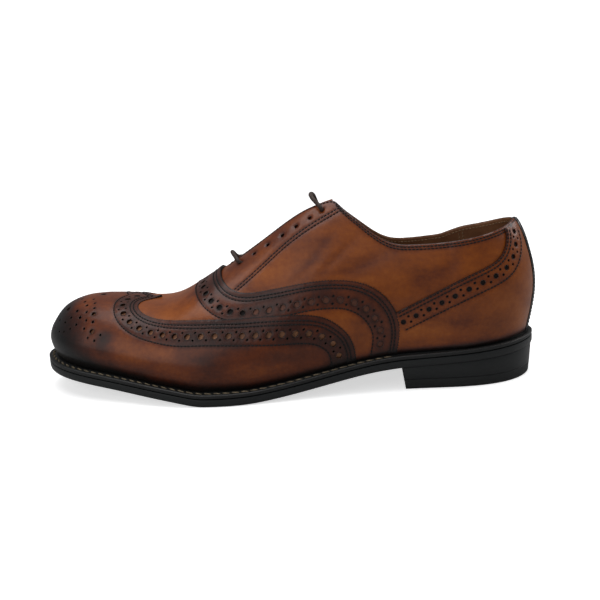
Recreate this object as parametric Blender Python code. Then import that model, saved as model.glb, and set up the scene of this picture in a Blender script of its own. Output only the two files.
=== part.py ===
"""Left shoe, a full brogue: a closed-throat oxford with a wing cap on a welted leather sole.

The toe points along -X, the outer side of the foot faces -Y and the floor is Z = 0.
Every leather piece is cut from one surface, the skin of the last: ribs rise from the feather
line, where the upper meets the welt, to a ridge over the foot, and fan out round the toe and
round the heel. A place on the skin is a rib number and a girth distance along that rib.
"""
import math

import bmesh
import bpy
import numpy as np
from mathutils import Vector
from mathutils.geometry import delaunay_2d_cdt

MM = 0.001

# Sizes that set the shoe
LENGTH = 302.0 * MM
BALL_WIDTH = 105.5 * MM
TOE_HEIGHT = 53.4 * MM
INSTEP_HEIGHT = 109.5 * MM
BACK_HEIGHT = 94.5 * MM
TOE_SPRING = 13.0 * MM
HEEL_HEIGHT = 13.6 * MM
HEEL_LENGTH = 80.0 * MM
SEAT_RISE = 5.0 * MM

# Thicknesses, ledges and clearances
CLEAR = 0.3 * MM
OUTSOLE_THICK = 4.6 * MM
WELT_THICK = 2.5 * MM
WELT_LEDGE = 8.0 * MM
WALL = 1.8 * MM
OVERLAY = 1.1 * MM
CAP_OVERLAY = 1.5 * MM
INSOLE_THICK = 2.6 * MM
TONGUE_THICK = 1.8 * MM
TOP_LIFT = 6.0 * MM
HEEL_TAPER = 1.4 * MM
EDGE_ROUND = 0.7 * MM
LACE_THICK = 2.2 * MM

# Throat: where it opens, the station of its top corners and the gap between the facings there
THROAT_AT = 0.3740 * LENGTH
THROAT_CORNER = 0.6225 * LENGTH
THROAT_GAP = 12.5 * MM

# Tongue: where it starts under the vamp and ends, half its width there, and its gap to the wall
TONGUE_ROOT = 0.3380 * LENGTH
TONGUE_END = 0.6090 * LENGTH
TONGUE_NARROW = 15.0 * MM
TONGUE_WIDE = 27.0 * MM
TONGUE_CLEAR = 0.5 * MM

# The ridge runs between the pole of the toe and the pole of the heel
TOE_POLE = 0.126 * LENGTH
HEEL_POLE = 0.828 * LENGTH

# Outsole seen from above, toe tip first and then along the outer side and back along the inner
# side: share of LENGTH from the toe tip, share of BALL_WIDTH from the centre line
OUTLINE = (
    (0.000, 0.045),
    (0.010, -0.065),
    (0.045, -0.205),
    (0.100, -0.306),
    (0.175, -0.382),
    (0.265, -0.466),
    (0.385, -0.507),
    (0.460, -0.478),
    (0.540, -0.426),
    (0.630, -0.368),
    (0.715, -0.334),
    (0.800, -0.324),
    (0.885, -0.304),
    (0.950, -0.228),
    (0.988, -0.110),
    (1.000, 0.005),
    (0.985, 0.128),
    (0.940, 0.240),
    (0.865, 0.306),
    (0.780, 0.308),
    (0.690, 0.286),
    (0.600, 0.298),
    (0.500, 0.362),
    (0.390, 0.452),
    (0.290, 0.493),
    (0.190, 0.481),
    (0.105, 0.426),
    (0.045, 0.325),
    (0.010, 0.175),
)

# Ridge: share of LENGTH, rise from TOE_HEIGHT (0) to INSTEP_HEIGHT (1), share of BALL_WIDTH
# towards the inner side
RIDGE = (
    (0.126, 0.000, 0.050),
    (0.190, -0.025, 0.050),
    (0.258, -0.042, 0.048),
    (0.290, 0.000, 0.045),
    (0.340, 0.145, 0.042),
    (0.410, 0.375, 0.038),
    (0.464, 0.580, 0.034),
    (0.513, 0.775, 0.030),
    (0.550, 0.905, 0.027),
    (0.590, 1.000, 0.024),
    (0.640, 1.070, 0.018),
    (0.730, 1.210, 0.010),
    (0.828, 1.290, 0.000),
)

# Rib shapes. Place: 0 centre front, 1 beside the toe pole, 2 beside the heel pole, 3 centre
# back. The ledge is a share of WELT_LEDGE. Each in and up pair is a share of the rib's reach
# from the feather to the ridge and of its rise.
RIBS = (
    # place, ledge, bulge in, up, side in, up, shoulder in, up
    (0.00, 0.98, -0.125, 0.28, -0.005, 0.59, 0.270, 0.855),
    (0.50, 1.00, -0.105, 0.27, 0.005, 0.57, 0.280, 0.855),
    (1.00, 1.02, -0.080, 0.25, 0.020, 0.54, 0.305, 0.835),
    (1.29, 1.02, -0.050, 0.20, 0.055, 0.51, 0.360, 0.835),
    (1.41, 1.00, -0.045, 0.18, 0.090, 0.47, 0.440, 0.810),
    (1.55, 0.92, -0.045, 0.20, 0.120, 0.50, 0.500, 0.820),
    (1.69, 0.86, -0.045, 0.22, 0.100, 0.51, 0.440, 0.795),
    (1.84, 0.74, -0.050, 0.25, 0.060, 0.50, 0.330, 0.705),
    (2.00, 0.60, -0.060, 0.26, 0.050, 0.50, 0.290, 0.690),
    (2.50, 0.56, -0.080, 0.26, 0.010, 0.50, 0.200, 0.680),
    (3.00, 0.56, -0.090, 0.25, -0.020, 0.49, 0.145, 0.680),
)
RIB_KNOTS = (0.0, 0.17, 0.40, 0.63, 1.0)

# Topline: share of LENGTH, share of BACK_HEIGHT
TOPLINE = (
    (0.600, 1.220),
    (0.616, 1.158),
    (0.629, 1.112),
    (0.642, 1.076),
    (0.662, 1.025),
    (0.689, 0.957),
    (0.710, 0.916),
    (0.732, 0.893),
    (0.760, 0.887),
    (0.800, 0.890),
    (0.845, 0.902),
    (0.890, 0.924),
    (0.930, 0.955),
    (0.960, 0.988),
    (0.985, 1.010),
)
# The inner side's topline dips further under the ankle, from this rib place to the centre back
INNER_DIP = 3.2 * MM
INNER_DIP_FROM = 1.72

# Bottom of the outsole: share of LENGTH and height as a share of TOE_SPRING, from the toe to
# the tread
TREAD_START = 0.352
TREAD_END = 0.404
SPRING = (
    (0.000, 1.000),
    (0.066, 0.850),
    (0.130, 0.690),
    (0.200, 0.500),
    (0.265, 0.305),
    (0.310, 0.140),
    (0.335, 0.040),
    (TREAD_START, 0.000),
)
# From the tread to the heel breast: share of the way, share of HEEL_HEIGHT
SHANK = (
    (0.00, 0.00),
    (0.10, 0.02),
    (0.25, 0.13),
    (0.45, 0.36),
    (0.65, 0.63),
    (0.85, 0.88),
    (1.00, 1.00),
)

# Edge of the sole, bottom to top: share of EDGE_ROUND set in, share of the thickness
SOLE_EDGE = ((1.0, 0.0), (0.0, 0.22), (0.0, 0.80), (0.8, 1.0))

# Seams of the outer side, from the ridge or the front down or back: rib place, share of the
# girth from the feather (0) to the ridge (1). The inner side has the same seams.
WING_SEAM = (
    (1.176, 1.000),
    (1.158, 0.955),
    (1.133, 0.870),
    (1.124, 0.790),
    (1.128, 0.705),
    (1.146, 0.632),
    (1.178, 0.578),
    (1.225, 0.538),
    (1.320, 0.490),
    (1.405, 0.452),
    (1.480, 0.415),
    (1.540, 0.378),
    (1.595, 0.343),
    (1.638, 0.311),
    (1.670, 0.276),
    (1.697, 0.230),
    (1.718, 0.180),
    (1.732, 0.122),
    (1.739, 0.060),
    (1.740, 0.000),
)
VAMP_SEAM = (
    (1.366, 1.000),
    (1.367, 0.920),
    (1.372, 0.830),
    (1.389, 0.715),
    (1.416, 0.638),
    (1.452, 0.590),
    (1.502, 0.556),
    (1.565, 0.522),
    (1.625, 0.497),
    (1.683, 0.475),
    (1.725, 0.455),
    (1.762, 0.426),
    (1.795, 0.385),
    (1.823, 0.333),
    (1.843, 0.276),
    (1.856, 0.217),
    (1.862, 0.160),
    (1.862, 0.105),
    (1.858, 0.052),
    (1.853, 0.000),
)
COUNTER_SEAM = (
    (1.855, 0.230),
    (1.890, 0.252),
    (1.935, 0.288),
    (1.985, 0.330),
    (2.180, 0.374),
    (2.380, 0.394),
    (2.505, 0.405),
    (2.578, 0.424),
    (2.616, 0.460),
    (2.638, 0.510),
    (2.650, 0.540),
)
# Back strip: half its width at the seat and at the topline
STRIP_SEAT = 11.0 * MM
STRIP_TOP = 9.0 * MM
# Foot of an overlay over the feather, and how far its top stays under the topline
FOOT = 1.0 * MM
FOLD = 1.2 * MM
# The insole stays this far inside the upper's wall
INSOLE_INSET = 0.9 * MM

# Lace bars: where the bottom and top pairs of eyelets sit along the shoe, how far from the
# ridge, and how high each bar arches and leans forward
EYELET_FIRST = 0.424 * LENGTH
EYELET_LAST = 0.591 * LENGTH
EYELET_OUT = 12.5 * MM
BARS = (("lace_bar_bottom", EYELET_FIRST, 4.5 * MM, 3.0 * MM),
        ("lace_bar_top", EYELET_LAST, 11.0 * MM, 4.5 * MM))

# Mesh steps: ribs in each fan and along the sides, levels up a rib, step along a seam
RIBS_FAN = 7
RIBS_FORE = 10
RIBS_THROAT = 9
RIBS_REAR = 8
LEVELS = 12
SEAM_STEP = 5.5 * MM
TONGUE_ROWS = 14
TONGUE_COLUMNS = 10
BAR_POINTS = 14
BAR_SIDES = 8
# Steps of the skin that the meshes are read from, and the reach its normal is measured over
DENSE_FAN = 60
DENSE_SIDE = 200
DENSE_LEVELS = 80
NORMAL_REACH = 0.4 * MM
# A panel's inner points keep this far from its edge, and its foot this many rib places from a seam
PANEL_MARGIN = 1.2 * MM
PLACE_MARGIN = 0.01
MERGE = 0.001 * MM
SHARP_ANGLE = math.radians(40.0)


def spline(places, values):
    """Natural cubic curve through the points, as a function of the place."""
    xs = np.asarray(places, float)
    ys = np.asarray(values, float)
    step = np.diff(xs)
    slope = np.diff(ys, axis=0) / (step if ys.ndim == 1 else step[:, None])
    matrix = np.eye(len(xs))
    right = np.zeros_like(ys)
    for i in range(1, len(xs) - 1):
        matrix[i, i - 1:i + 2] = step[i - 1], 2.0 * (step[i - 1] + step[i]), step[i]
        right[i] = 6.0 * (slope[i] - slope[i - 1])
    bend = np.linalg.solve(matrix, right)

    def curve(x):
        x = np.clip(np.asarray(x, float), xs[0], xs[-1])
        k = np.clip(np.searchsorted(xs, x) - 1, 0, len(xs) - 2)
        a = (xs[k + 1] - x) / step[k]
        h = step[k]
        if ys.ndim > 1:
            a = a[..., None]
            h = h[..., None]
        b = 1.0 - a
        return a * ys[k] + b * ys[k + 1] + ((a ** 3 - a) * bend[k] + (b ** 3 - b) * bend[k + 1]) * h ** 2 / 6.0

    return curve


def closed_outline(count=720):
    """The outsole's edge in plan as a dense closed loop of points."""
    points = np.array(OUTLINE) * (LENGTH, BALL_WIDTH)
    wrap = 4
    looped = np.vstack([points[-wrap:], points, points[:wrap]])
    run = np.r_[0.0, np.cumsum(np.hypot(*np.diff(looped, axis=0).T))]
    curve = spline(run, looped)
    start, end = run[wrap], run[wrap + len(points)]
    return curve(np.linspace(start, end, count, endpoint=False))


EDGE = closed_outline()
ridge_curve = spline([row[0] * LENGTH for row in RIDGE],
                     [(TOE_HEIGHT + row[1] * (INSTEP_HEIGHT - TOE_HEIGHT), row[2] * BALL_WIDTH)
                      for row in RIDGE])
topline_curve = spline([row[0] * LENGTH for row in TOPLINE], [row[1] * BACK_HEIGHT for row in TOPLINE])
spring_curve = spline([row[0] * LENGTH for row in SPRING], [row[1] * TOE_SPRING for row in SPRING])
shank_curve = spline([row[0] for row in SHANK], [row[1] * HEEL_HEIGHT for row in SHANK])
shape_curve = spline([row[0] for row in RIBS], [row[1:] for row in RIBS])
BREAST = LENGTH - HEEL_LENGTH


def sole_bottom(x):
    """Height of the outsole's lower face over the floor."""
    x = np.asarray(x, float)
    way = (x - TREAD_END * LENGTH) / (BREAST - TREAD_END * LENGTH)
    seat = HEEL_HEIGHT + SEAT_RISE * np.clip((x - BREAST) / HEEL_LENGTH, 0.0, 1.0) ** 1.15
    height = np.where(x < TREAD_START * LENGTH, spring_curve(x), 0.0)
    height = np.where(way > 0.0, shank_curve(np.clip(way, 0.0, 1.0)), height)
    return np.where(x > BREAST, seat, np.maximum(height, 0.0))


def outsole_top(x):
    return sole_bottom(x) + OUTSOLE_THICK


def welt_top(x):
    return outsole_top(x) + CLEAR + WELT_THICK


def feather_height(x):
    return welt_top(x) + CLEAR


def topline_dip(side, place):
    """How much lower one side's topline is than the curve both sides share."""
    way = (place - INNER_DIP_FROM) / (3.0 - INNER_DIP_FROM)
    return INNER_DIP * math.sin(math.pi * min(max(way, 0.0), 1.0)) if side > 0 else 0.0


def rib_plan(side, place):
    """Foot of a rib on the spine, its direction in plan and its reach to the outsole's edge."""
    if place < 1.0:
        turn = place * math.pi / 2.0
        start = TOE_POLE
        direction = np.array((-math.cos(turn), side * math.sin(turn)))
    elif place > 2.0:
        turn = (3.0 - place) * math.pi / 2.0
        start = HEEL_POLE
        direction = np.array((math.cos(turn), side * math.sin(turn)))
    else:
        start = TOE_POLE + (place - 1.0) * (HEEL_POLE - TOE_POLE)
        direction = np.array((0.0, float(side)))
    foot = np.array((start, ridge_curve(start)[1]))
    away = EDGE - foot
    across = away @ np.array((-direction[1], direction[0]))
    ahead = away @ direction
    after = np.roll(across, -1)
    hit = np.flatnonzero((across * after <= 0.0) & (ahead > 0.0) & (across != after))[0]
    share = across[hit] / (across[hit] - after[hit])
    nxt = (hit + 1) % len(EDGE)
    reach = ahead[hit] + share * (ahead[nxt] - ahead[hit])
    along = EDGE[nxt] - EDGE[hit]
    along = along / np.hypot(*along)
    square = abs(direction @ np.array((along[1], -along[0])))
    return foot, direction, reach, square


def edge_point(side, place, inset):
    """Plan point on a rib, a given distance inside the outsole's edge."""
    foot, direction, reach, square = rib_plan(side, place)
    return foot + direction * (reach - inset / square)


def rib_basis():
    """Weights of a rib's five guide points, even and odd about the ridge, at dense levels."""
    knots = np.array(RIB_KNOTS)
    mirrored = np.r_[knots, 2.0 - knots[-2::-1]]
    count = len(knots)
    even = np.zeros((len(mirrored), count))
    odd = np.zeros((len(mirrored), count))
    for k in range(count):
        even[k, k] = even[-1 - k, k] = 1.0
        if k < count - 1:
            odd[k, k] = 1.0
            odd[-1 - k, k] = -1.0
    levels = np.linspace(0.0, 1.0, DENSE_LEVELS + 1)
    return spline(mirrored, even)(levels), spline(mirrored, odd)(levels)


def dense_rib(side, place):
    """Points of one rib from the feather to the ridge."""
    even, odd = BASIS
    foot, direction, reach, square = rib_plan(side, place)
    ledge, *pairs = shape_curve(place)
    reach = reach - ledge * WELT_LEDGE / square
    low = feather_height(foot[0] + direction[0] * reach)
    rise = ridge_curve(foot[0])[0] - low
    inward = np.r_[0.0, pairs[0::2], 1.0]
    upward = np.r_[0.0, pairs[1::2], 1.0]
    out = odd @ ((1.0 - inward) * reach)
    height = even @ (low + upward * rise)
    return np.column_stack([foot[0] + direction[0] * out, foot[1] + direction[1] * out, height])


class Skin:
    """One side of the last: dense ribs, read by rib place and girth distance."""

    def __init__(self, side):
        self.side = side
        fan = np.linspace(0.0, 1.0, DENSE_FAN, endpoint=False)
        middle = np.linspace(1.0, 2.0, DENSE_SIDE, endpoint=False)
        self.places = np.r_[fan, middle, 2.0 + fan, 3.0]
        self.ribs = np.array([dense_rib(side, place) for place in self.places])
        steps = np.linalg.norm(np.diff(self.ribs, axis=1), axis=2)
        self.run = np.concatenate([np.zeros((len(self.places), 1)), np.cumsum(steps, axis=1)], axis=1)
        self.girth = self.run[:, -1]
        foot = np.linalg.norm(np.diff(self.ribs[:, 0], axis=0), axis=1)
        self.back_run = np.r_[np.cumsum(foot[::-1])[::-1], 0.0]

    def rib(self, place):
        """One rib between the dense ones: its points and their girth distance from the feather."""
        k = min(max(int(np.searchsorted(self.places, place)) - 1, 0), len(self.places) - 2)
        share = (place - self.places[k]) / (self.places[k + 1] - self.places[k])
        points = self.ribs[k] * (1.0 - share) + self.ribs[k + 1] * share
        run = self.run[k] * (1.0 - share) + self.run[k + 1] * share
        return points, run

    def point(self, place, up):
        """Point at a girth distance above the feather."""
        points, run = self.rib(place)
        return np.array([np.interp(up, run, points[:, axis]) for axis in range(3)])

    def full(self, place):
        """Girth from the feather to the ridge."""
        return float(np.interp(place, self.places, self.girth))

    def run_from_back(self, place):
        """Run of the feather from the centre back to a rib."""
        return float(np.interp(place, self.places, self.back_run))

    def place_from_back(self, run):
        """Rib at a run of the feather from the centre back."""
        return float(np.interp(run, self.back_run[::-1], self.places[::-1]))

    def top(self, place):
        """Girth distance from the feather to the throat edge or the topline."""
        points, run = self.rib(place)
        x = points[:, 0]
        limit = run[-1]
        if 1.0 < place < 2.0 and TOE_POLE + (place - 1.0) * (HEEL_POLE - TOE_POLE) > THROAT_AT:
            limit = run[-1] - half_gap(x[0])
        over = points[:, 2] - topline_curve(x) + topline_dip(self.side, place)
        start = LENGTH * TOPLINE[0][0]
        above = np.flatnonzero((over > 0.0) & (x > start))
        if len(above):
            k = above[0]
            share = -over[k - 1] / (over[k] - over[k - 1])
            limit = min(limit, run[k - 1] + share * (run[k] - run[k - 1]))
        return limit


def half_gap(x):
    """Half the open throat, measured round the ridge."""
    way = (x - THROAT_AT) / (TONGUE_END - THROAT_AT)
    return 0.5 * THROAT_GAP * np.clip(way, 0.0, 1.15) ** 0.7


def place_of(x):
    """Rib place of a station between the two poles."""
    return 1.0 + (x - TOE_POLE) / (HEEL_POLE - TOE_POLE)


class Front:
    """Flat pattern of the toe, vamp and quarters: x from the toe pole, y girth from the ridge.

    Ahead of the pole the pattern is polar, so it lies flat over the toe cap.
    """

    @staticmethod
    def flat(side, place, up):
        skin = SKINS[side]
        out = skin.full(place) - up
        if place < 1.0:
            turn = place * math.pi / 2.0
            return (-out * math.cos(turn), side * out * math.sin(turn))
        return ((place - 1.0) * (HEEL_POLE - TOE_POLE), side * out)

    @staticmethod
    def point(x, y):
        side = 1 if y > 0.0 else -1
        skin = SKINS[side]
        if x < 0.0:
            place = math.atan2(abs(y), -x) / (math.pi / 2.0)
            out = math.hypot(x, y)
        else:
            place = 1.0 + x / (HEEL_POLE - TOE_POLE)
            out = abs(y)
        return skin.point(place, skin.full(place) - out)


class Heel:
    """Flat pattern of the heel: x run of the feather from the centre back, y girth up from it."""

    @staticmethod
    def flat(side, place, up):
        return (side * SKINS[side].run_from_back(place), up)

    @staticmethod
    def point(x, y):
        side = 1 if x > 0.0 else -1
        skin = SKINS[side]
        return skin.point(skin.place_from_back(abs(x)), y)


def normal_at(pattern, x, y):
    """Outward unit normal of the skin at a place on a pattern."""
    along = pattern.point(x + NORMAL_REACH, y) - pattern.point(x - NORMAL_REACH, y)
    across = pattern.point(x, y + NORMAL_REACH) - pattern.point(x, y - NORMAL_REACH)
    normal = np.cross(along, across)
    return normal / np.linalg.norm(normal)


BASIS = rib_basis()
SKINS = {-1: Skin(-1), 1: Skin(1)}


def material(name, colour, roughness, metallic=0.0):
    made = bpy.data.materials.new(name)
    made.use_nodes = True
    shader = made.node_tree.nodes["Principled BSDF"]
    shader.inputs["Base Color"].default_value = (*colour, 1.0)
    shader.inputs["Roughness"].default_value = roughness
    shader.inputs["Metallic"].default_value = metallic
    return made


def add_object(name, mesh_tool, finish, parent):
    """Close a bmesh into a named object with one material, shaded smooth across soft edges."""
    bmesh.ops.remove_doubles(mesh_tool, verts=mesh_tool.verts, dist=MERGE)
    bmesh.ops.recalc_face_normals(mesh_tool, faces=mesh_tool.faces)
    mesh = bpy.data.meshes.new(name)
    mesh_tool.to_mesh(mesh)
    mesh_tool.free()
    mesh.materials.append(finish)
    mesh.shade_smooth()
    mesh.set_sharp_from_angle(angle=SHARP_ANGLE)
    made = bpy.data.objects.new(name, mesh)
    bpy.context.scene.collection.objects.link(made)
    made.parent = parent
    return made


def rib_places():
    """Places of the mesh's ribs from the centre front to the centre back."""
    fan = np.linspace(0.0, 1.0, RIBS_FAN, endpoint=False)
    throat = place_of(THROAT_AT)
    corner = place_of(THROAT_CORNER)
    return np.r_[fan,
                 np.linspace(1.0, throat, RIBS_FORE, endpoint=False),
                 np.linspace(throat, corner, RIBS_THROAT, endpoint=False),
                 np.linspace(corner, 2.0, RIBS_REAR, endpoint=False),
                 2.0 + fan, 3.0]


PLACES = rib_places()


def grid_faces(tool, rows):
    """Faces between neighbouring rows of points; coinciding points are merged later."""
    made = [[tool.verts.new(Vector(point)) for point in row] for row in rows]
    for low, high in zip(made[:-1], made[1:]):
        for k in range(len(low) - 1):
            tool.faces.new((low[k], low[k + 1], high[k + 1], high[k]))


def make_upper(finish, parent):
    """The hollow upper: quarters and lining as one wall from the feather to throat and topline."""
    tool = bmesh.new()
    for side in (-1, 1):
        skin = SKINS[side]
        rows = []
        for place in PLACES:
            top = skin.top(place)
            rows.append([skin.point(place, top * level / LEVELS) for level in range(LEVELS + 1)])
        grid_faces(tool, rows)
    upper = add_object("upper", tool, finish, parent)
    wall = upper.modifiers.new("wall", "SOLIDIFY")
    wall.thickness = WALL
    wall.offset = -1.0
    wall.use_even_offset = False


def seam_points(table, side):
    """Points along a seam at an even step: rib places and girth distances."""
    rows = np.array(table)
    skin = SKINS[side]
    solid = np.array([skin.point(place, share * skin.full(place)) for place, share in rows])
    run = np.r_[0.0, np.cumsum(np.linalg.norm(np.diff(solid, axis=0), axis=1))]
    count = max(2, int(round(run[-1] / SEAM_STEP)))
    places = spline(run, rows)(np.linspace(0.0, run[-1], count + 1))
    return [(place, np.clip(share, 0.0, 1.0) * skin.full(place)) for place, share in places]


def feather_points(side, start, end):
    """Points along the foot of an overlay, just over the feather."""
    first, last = min(start, end) + PLACE_MARGIN, max(start, end) - PLACE_MARGIN
    inside = [place for place in PLACES if first < place < last]
    if end < start:
        inside.reverse()
    return [(place, FOOT) for place in inside]


def pull_in(loop, distance):
    """A flat closed loop, counted anticlockwise or clockwise, drawn in by a distance."""
    points = np.array(loop)
    ahead = np.roll(points, -1, axis=0) - points
    ahead /= np.linalg.norm(ahead, axis=1)[:, None]
    behind = np.roll(ahead, 1, axis=0)
    area = 0.5 * np.sum(points[:, 0] * np.roll(points[:, 1], -1) - points[:, 1] * np.roll(points[:, 0], -1))
    turn = 1.0 if area > 0.0 else -1.0
    normal = np.column_stack([-(ahead + behind)[:, 1], (ahead + behind)[:, 0]]) * turn
    normal /= np.linalg.norm(normal, axis=1)[:, None]
    return points + normal * distance


def inside_loop(point, loop, margin):
    """Whether a flat point lies in a loop and further than a margin from its edge."""
    after = np.roll(loop, -1, axis=0)
    span = after - loop
    share = np.clip(((point - loop) * span).sum(1) / (span ** 2).sum(1), 0.0, 1.0)
    if np.linalg.norm(loop + share[:, None] * span - point, axis=1).min() < margin:
        return False
    crosses = (loop[:, 1] > point[1]) != (after[:, 1] > point[1])
    at = loop[:, 0] + (point[1] - loop[:, 1]) / np.where(crosses, span[:, 1], 1.0) * span[:, 0]
    return np.count_nonzero(crosses & (at > point[0])) % 2 == 1


def make_panel(name, pattern, loop, sides, thick, finish, parent):
    """An overlay: a closed loop on a flat pattern, laid over the skin with its own thickness."""
    loop = pull_in(loop, CLEAR / 2.0)
    nodes = list(loop)
    for side in sides:
        skin = SKINS[side]
        for place in PLACES:
            top = skin.top(place)
            for level in range(1, LEVELS + 1):
                node = np.array(pattern.flat(side, place, top * level / LEVELS))
                if inside_loop(node, loop, PANEL_MARGIN):
                    nodes.append(node)
    flat = [Vector((node[0] / MM, node[1] / MM)) for node in nodes]
    ring = [(k, (k + 1) % len(loop)) for k in range(len(loop))]
    verts, _, faces, *_ = delaunay_2d_cdt(flat, ring, [], 1, 0.01)
    tool = bmesh.new()
    low, high = [], []
    for vert in verts:
        x, y = vert.x * MM, vert.y * MM
        base = pattern.point(x, y)
        normal = normal_at(pattern, x, y)
        low.append(tool.verts.new(Vector(base + normal * CLEAR)))
        high.append(tool.verts.new(Vector(base + normal * (CLEAR + thick))))
    used = {}
    for face in faces:
        tool.faces.new([high[k] for k in face])
        tool.faces.new([low[k] for k in reversed(face)])
        for a, b in zip(face, face[1:] + face[:1]):
            used[(a, b)] = True
    for a, b in used:
        if (b, a) not in used:
            tool.faces.new((high[b], high[a], low[a], low[b]))
    add_object(name, tool, finish, parent)


def seam_on(pattern, table, side):
    """A seam table as flat points on a pattern, its foot just over the feather."""
    points = [(place, max(up, FOOT)) for place, up in seam_points(table, side)]
    return [pattern.flat(side, place, up) for place, up in points]


def wing_half(side):
    """Edge of the wing cap from the ridge down to the feather and forward to the centre front."""
    foot = feather_points(side, WING_SEAM[-1][0], 0.0)
    return (seam_on(Front, WING_SEAM, side)
            + [Front.flat(side, place, up) for place, up in foot]
            + [Front.flat(side, 0.0, FOOT)])


def vamp_half(side):
    """Edge of the vamp from the throat down to the feather, forward and up the wing seam."""
    foot = feather_points(side, VAMP_SEAM[-1][0], WING_SEAM[-1][0])
    return (seam_on(Front, VAMP_SEAM, side)
            + [Front.flat(side, place, up) for place, up in foot]
            + seam_on(Front, WING_SEAM, side)[::-1])


def strip_half_width(share):
    """Half the back strip, by the share of its height."""
    return STRIP_SEAT + (STRIP_TOP - STRIP_SEAT) * share


def strip_edge(side):
    """Edge of the back strip from the seat up to the topline: flat points of the heel."""
    skin = SKINS[side]
    shares = np.linspace(0.0, 1.0, LEVELS + 1)
    points = []
    for share in shares:
        run = strip_half_width(share)
        top = skin.top(skin.place_from_back(run)) - FOLD
        points.append((side * run, FOOT + share * (top - FOOT)))
    return points


def counter_loop(side):
    """Edge of one counter: up the vamp seam, back along its own seam, topline, strip, feather."""
    skin = SKINS[side]
    start_place, start_share = COUNTER_SEAM[0]
    low = [(place, max(up, FOOT)) for place, up in seam_points(VAMP_SEAM, side)
           if up < start_share * skin.full(place) and place > start_place - PLACE_MARGIN][::-1]
    seam = [(place, min(up, skin.top(place) - FOLD)) for place, up in seam_points(COUNTER_SEAM, side)]
    end = skin.place_from_back(STRIP_TOP)
    top = [(place, skin.top(place) - FOLD) for place in PLACES
           if COUNTER_SEAM[-1][0] + 5.0 * PLACE_MARGIN < place < end - 5.0 * PLACE_MARGIN]
    foot_end = skin.place_from_back(STRIP_SEAT)
    foot = feather_points(side, foot_end - 4.0 * PLACE_MARGIN, low[0][0])
    return ([Heel.flat(side, place, up) for place, up in low + seam + top]
            + strip_edge(side)[::-1]
            + [Heel.flat(side, place, up) for place, up in foot])


def back_strip_loop():
    """Edge of the back strip round the centre back."""
    left, right = strip_edge(-1), strip_edge(1)
    top = SKINS[-1].top(3.0) - FOLD
    return left + [(0.0, top)] + right[::-1] + [(0.0, FOOT)]


def ring(inset, height, places=None):
    """Both halves of a closed ring round the sole: outer side and inner side, front to back."""
    halves = []
    for side in (-1, 1):
        half = []
        for place in PLACES if places is None else places:
            x, y = edge_point(side, place, inset(place))
            half.append((x, y, float(height(x))))
        halves.append(half)
    return halves


def feather_inset(place):
    """How far the feather line runs inside the outsole's edge."""
    return float(shape_curve(place)[0]) * WELT_LEDGE


def make_plate(name, rings, finish, parent):
    """A closed plate through rings given from its lower face to its upper face."""
    tool = bmesh.new()
    loops = []
    for outer, inner in rings:
        loops.append([[tool.verts.new(Vector(point)) for point in half] for half in (outer, inner)])
    for low, high in zip(loops[:-1], loops[1:]):
        for half in (0, 1):
            for k in range(len(low[half]) - 1):
                tool.faces.new((low[half][k], low[half][k + 1], high[half][k + 1], high[half][k]))
        for k in (0, -1):
            corners = (low[0][k], low[1][k], high[1][k], high[0][k])
            if (low[0][k].co - low[1][k].co).length > MERGE:
                tool.faces.new(corners)
    for outer, inner in (loops[0], loops[-1]):
        for k in range(len(outer) - 1):
            tool.faces.new((outer[k], outer[k + 1], inner[k + 1], inner[k]))
    add_object(name, tool, finish, parent)


def sole_rings(low, high, inset=0.0):
    """Rings up the rounded edge of a sole plate between two heights."""
    rings = []
    for share_in, share_up in SOLE_EDGE:
        rings.append(ring(lambda place, d=share_in: inset + d * EDGE_ROUND,
                          lambda x, u=share_up: low(x) + u * (high(x) - low(x))))
    return rings


def make_welt(finish, parent):
    """The welt: a strip round the whole sole that carries the foot of the upper's wall."""
    outer_rings = sole_rings(lambda x: outsole_top(x) + CLEAR, welt_top)
    inside = [ring(lambda place: feather_inset(place) + WALL + CLEAR, height)
              for height in (welt_top, lambda x: outsole_top(x) + CLEAR)]
    tool = bmesh.new()
    rings = outer_rings + inside
    for half in (0, 1):
        loops = [[tool.verts.new(Vector(point)) for point in level[half]] for level in rings]
        for low, high in zip(loops, loops[1:] + loops[:1]):
            for k in range(len(low) - 1):
                tool.faces.new((low[k], low[k + 1], high[k + 1], high[k]))
    add_object("welt", tool, finish, parent)


def heel_ring(taper, height):
    """A ring round the heel, its sides and breast set in by a taper."""
    front = place_of(BREAST + taper)
    behind = [place for place in PLACES if place > place_of(BREAST) + PLACE_MARGIN]
    return ring(lambda place: EDGE_ROUND + taper, height, np.r_[front, behind])


def make_heel(leather, rubber, parent):
    """The heel: a stack of lifts under the seat, and the top lift that it stands on."""
    seam = HEEL_TAPER * (1.0 - TOP_LIFT / HEEL_HEIGHT)
    chamfer = EDGE_ROUND / 2.0
    make_plate("heel_stack", [
        heel_ring(seam, lambda x: TOP_LIFT + CLEAR),
        heel_ring(0.0, lambda x: sole_bottom(x) - CLEAR),
    ], leather, parent)
    make_plate("top_lift", [
        heel_ring(HEEL_TAPER + chamfer, lambda x: 0.0),
        heel_ring(HEEL_TAPER, lambda x: chamfer),
        heel_ring(seam, lambda x: TOP_LIFT),
    ], rubber, parent)


def make_insole(finish, parent):
    """The insole and its filling, inside the welt from the outsole up."""
    def inset(place):
        return feather_inset(place) + WALL + INSOLE_INSET

    make_plate("insole", [
        ring(inset, lambda x: outsole_top(x) + CLEAR),
        ring(inset, lambda x: outsole_top(x) + CLEAR + WELT_THICK + INSOLE_THICK),
    ], finish, parent)


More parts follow.
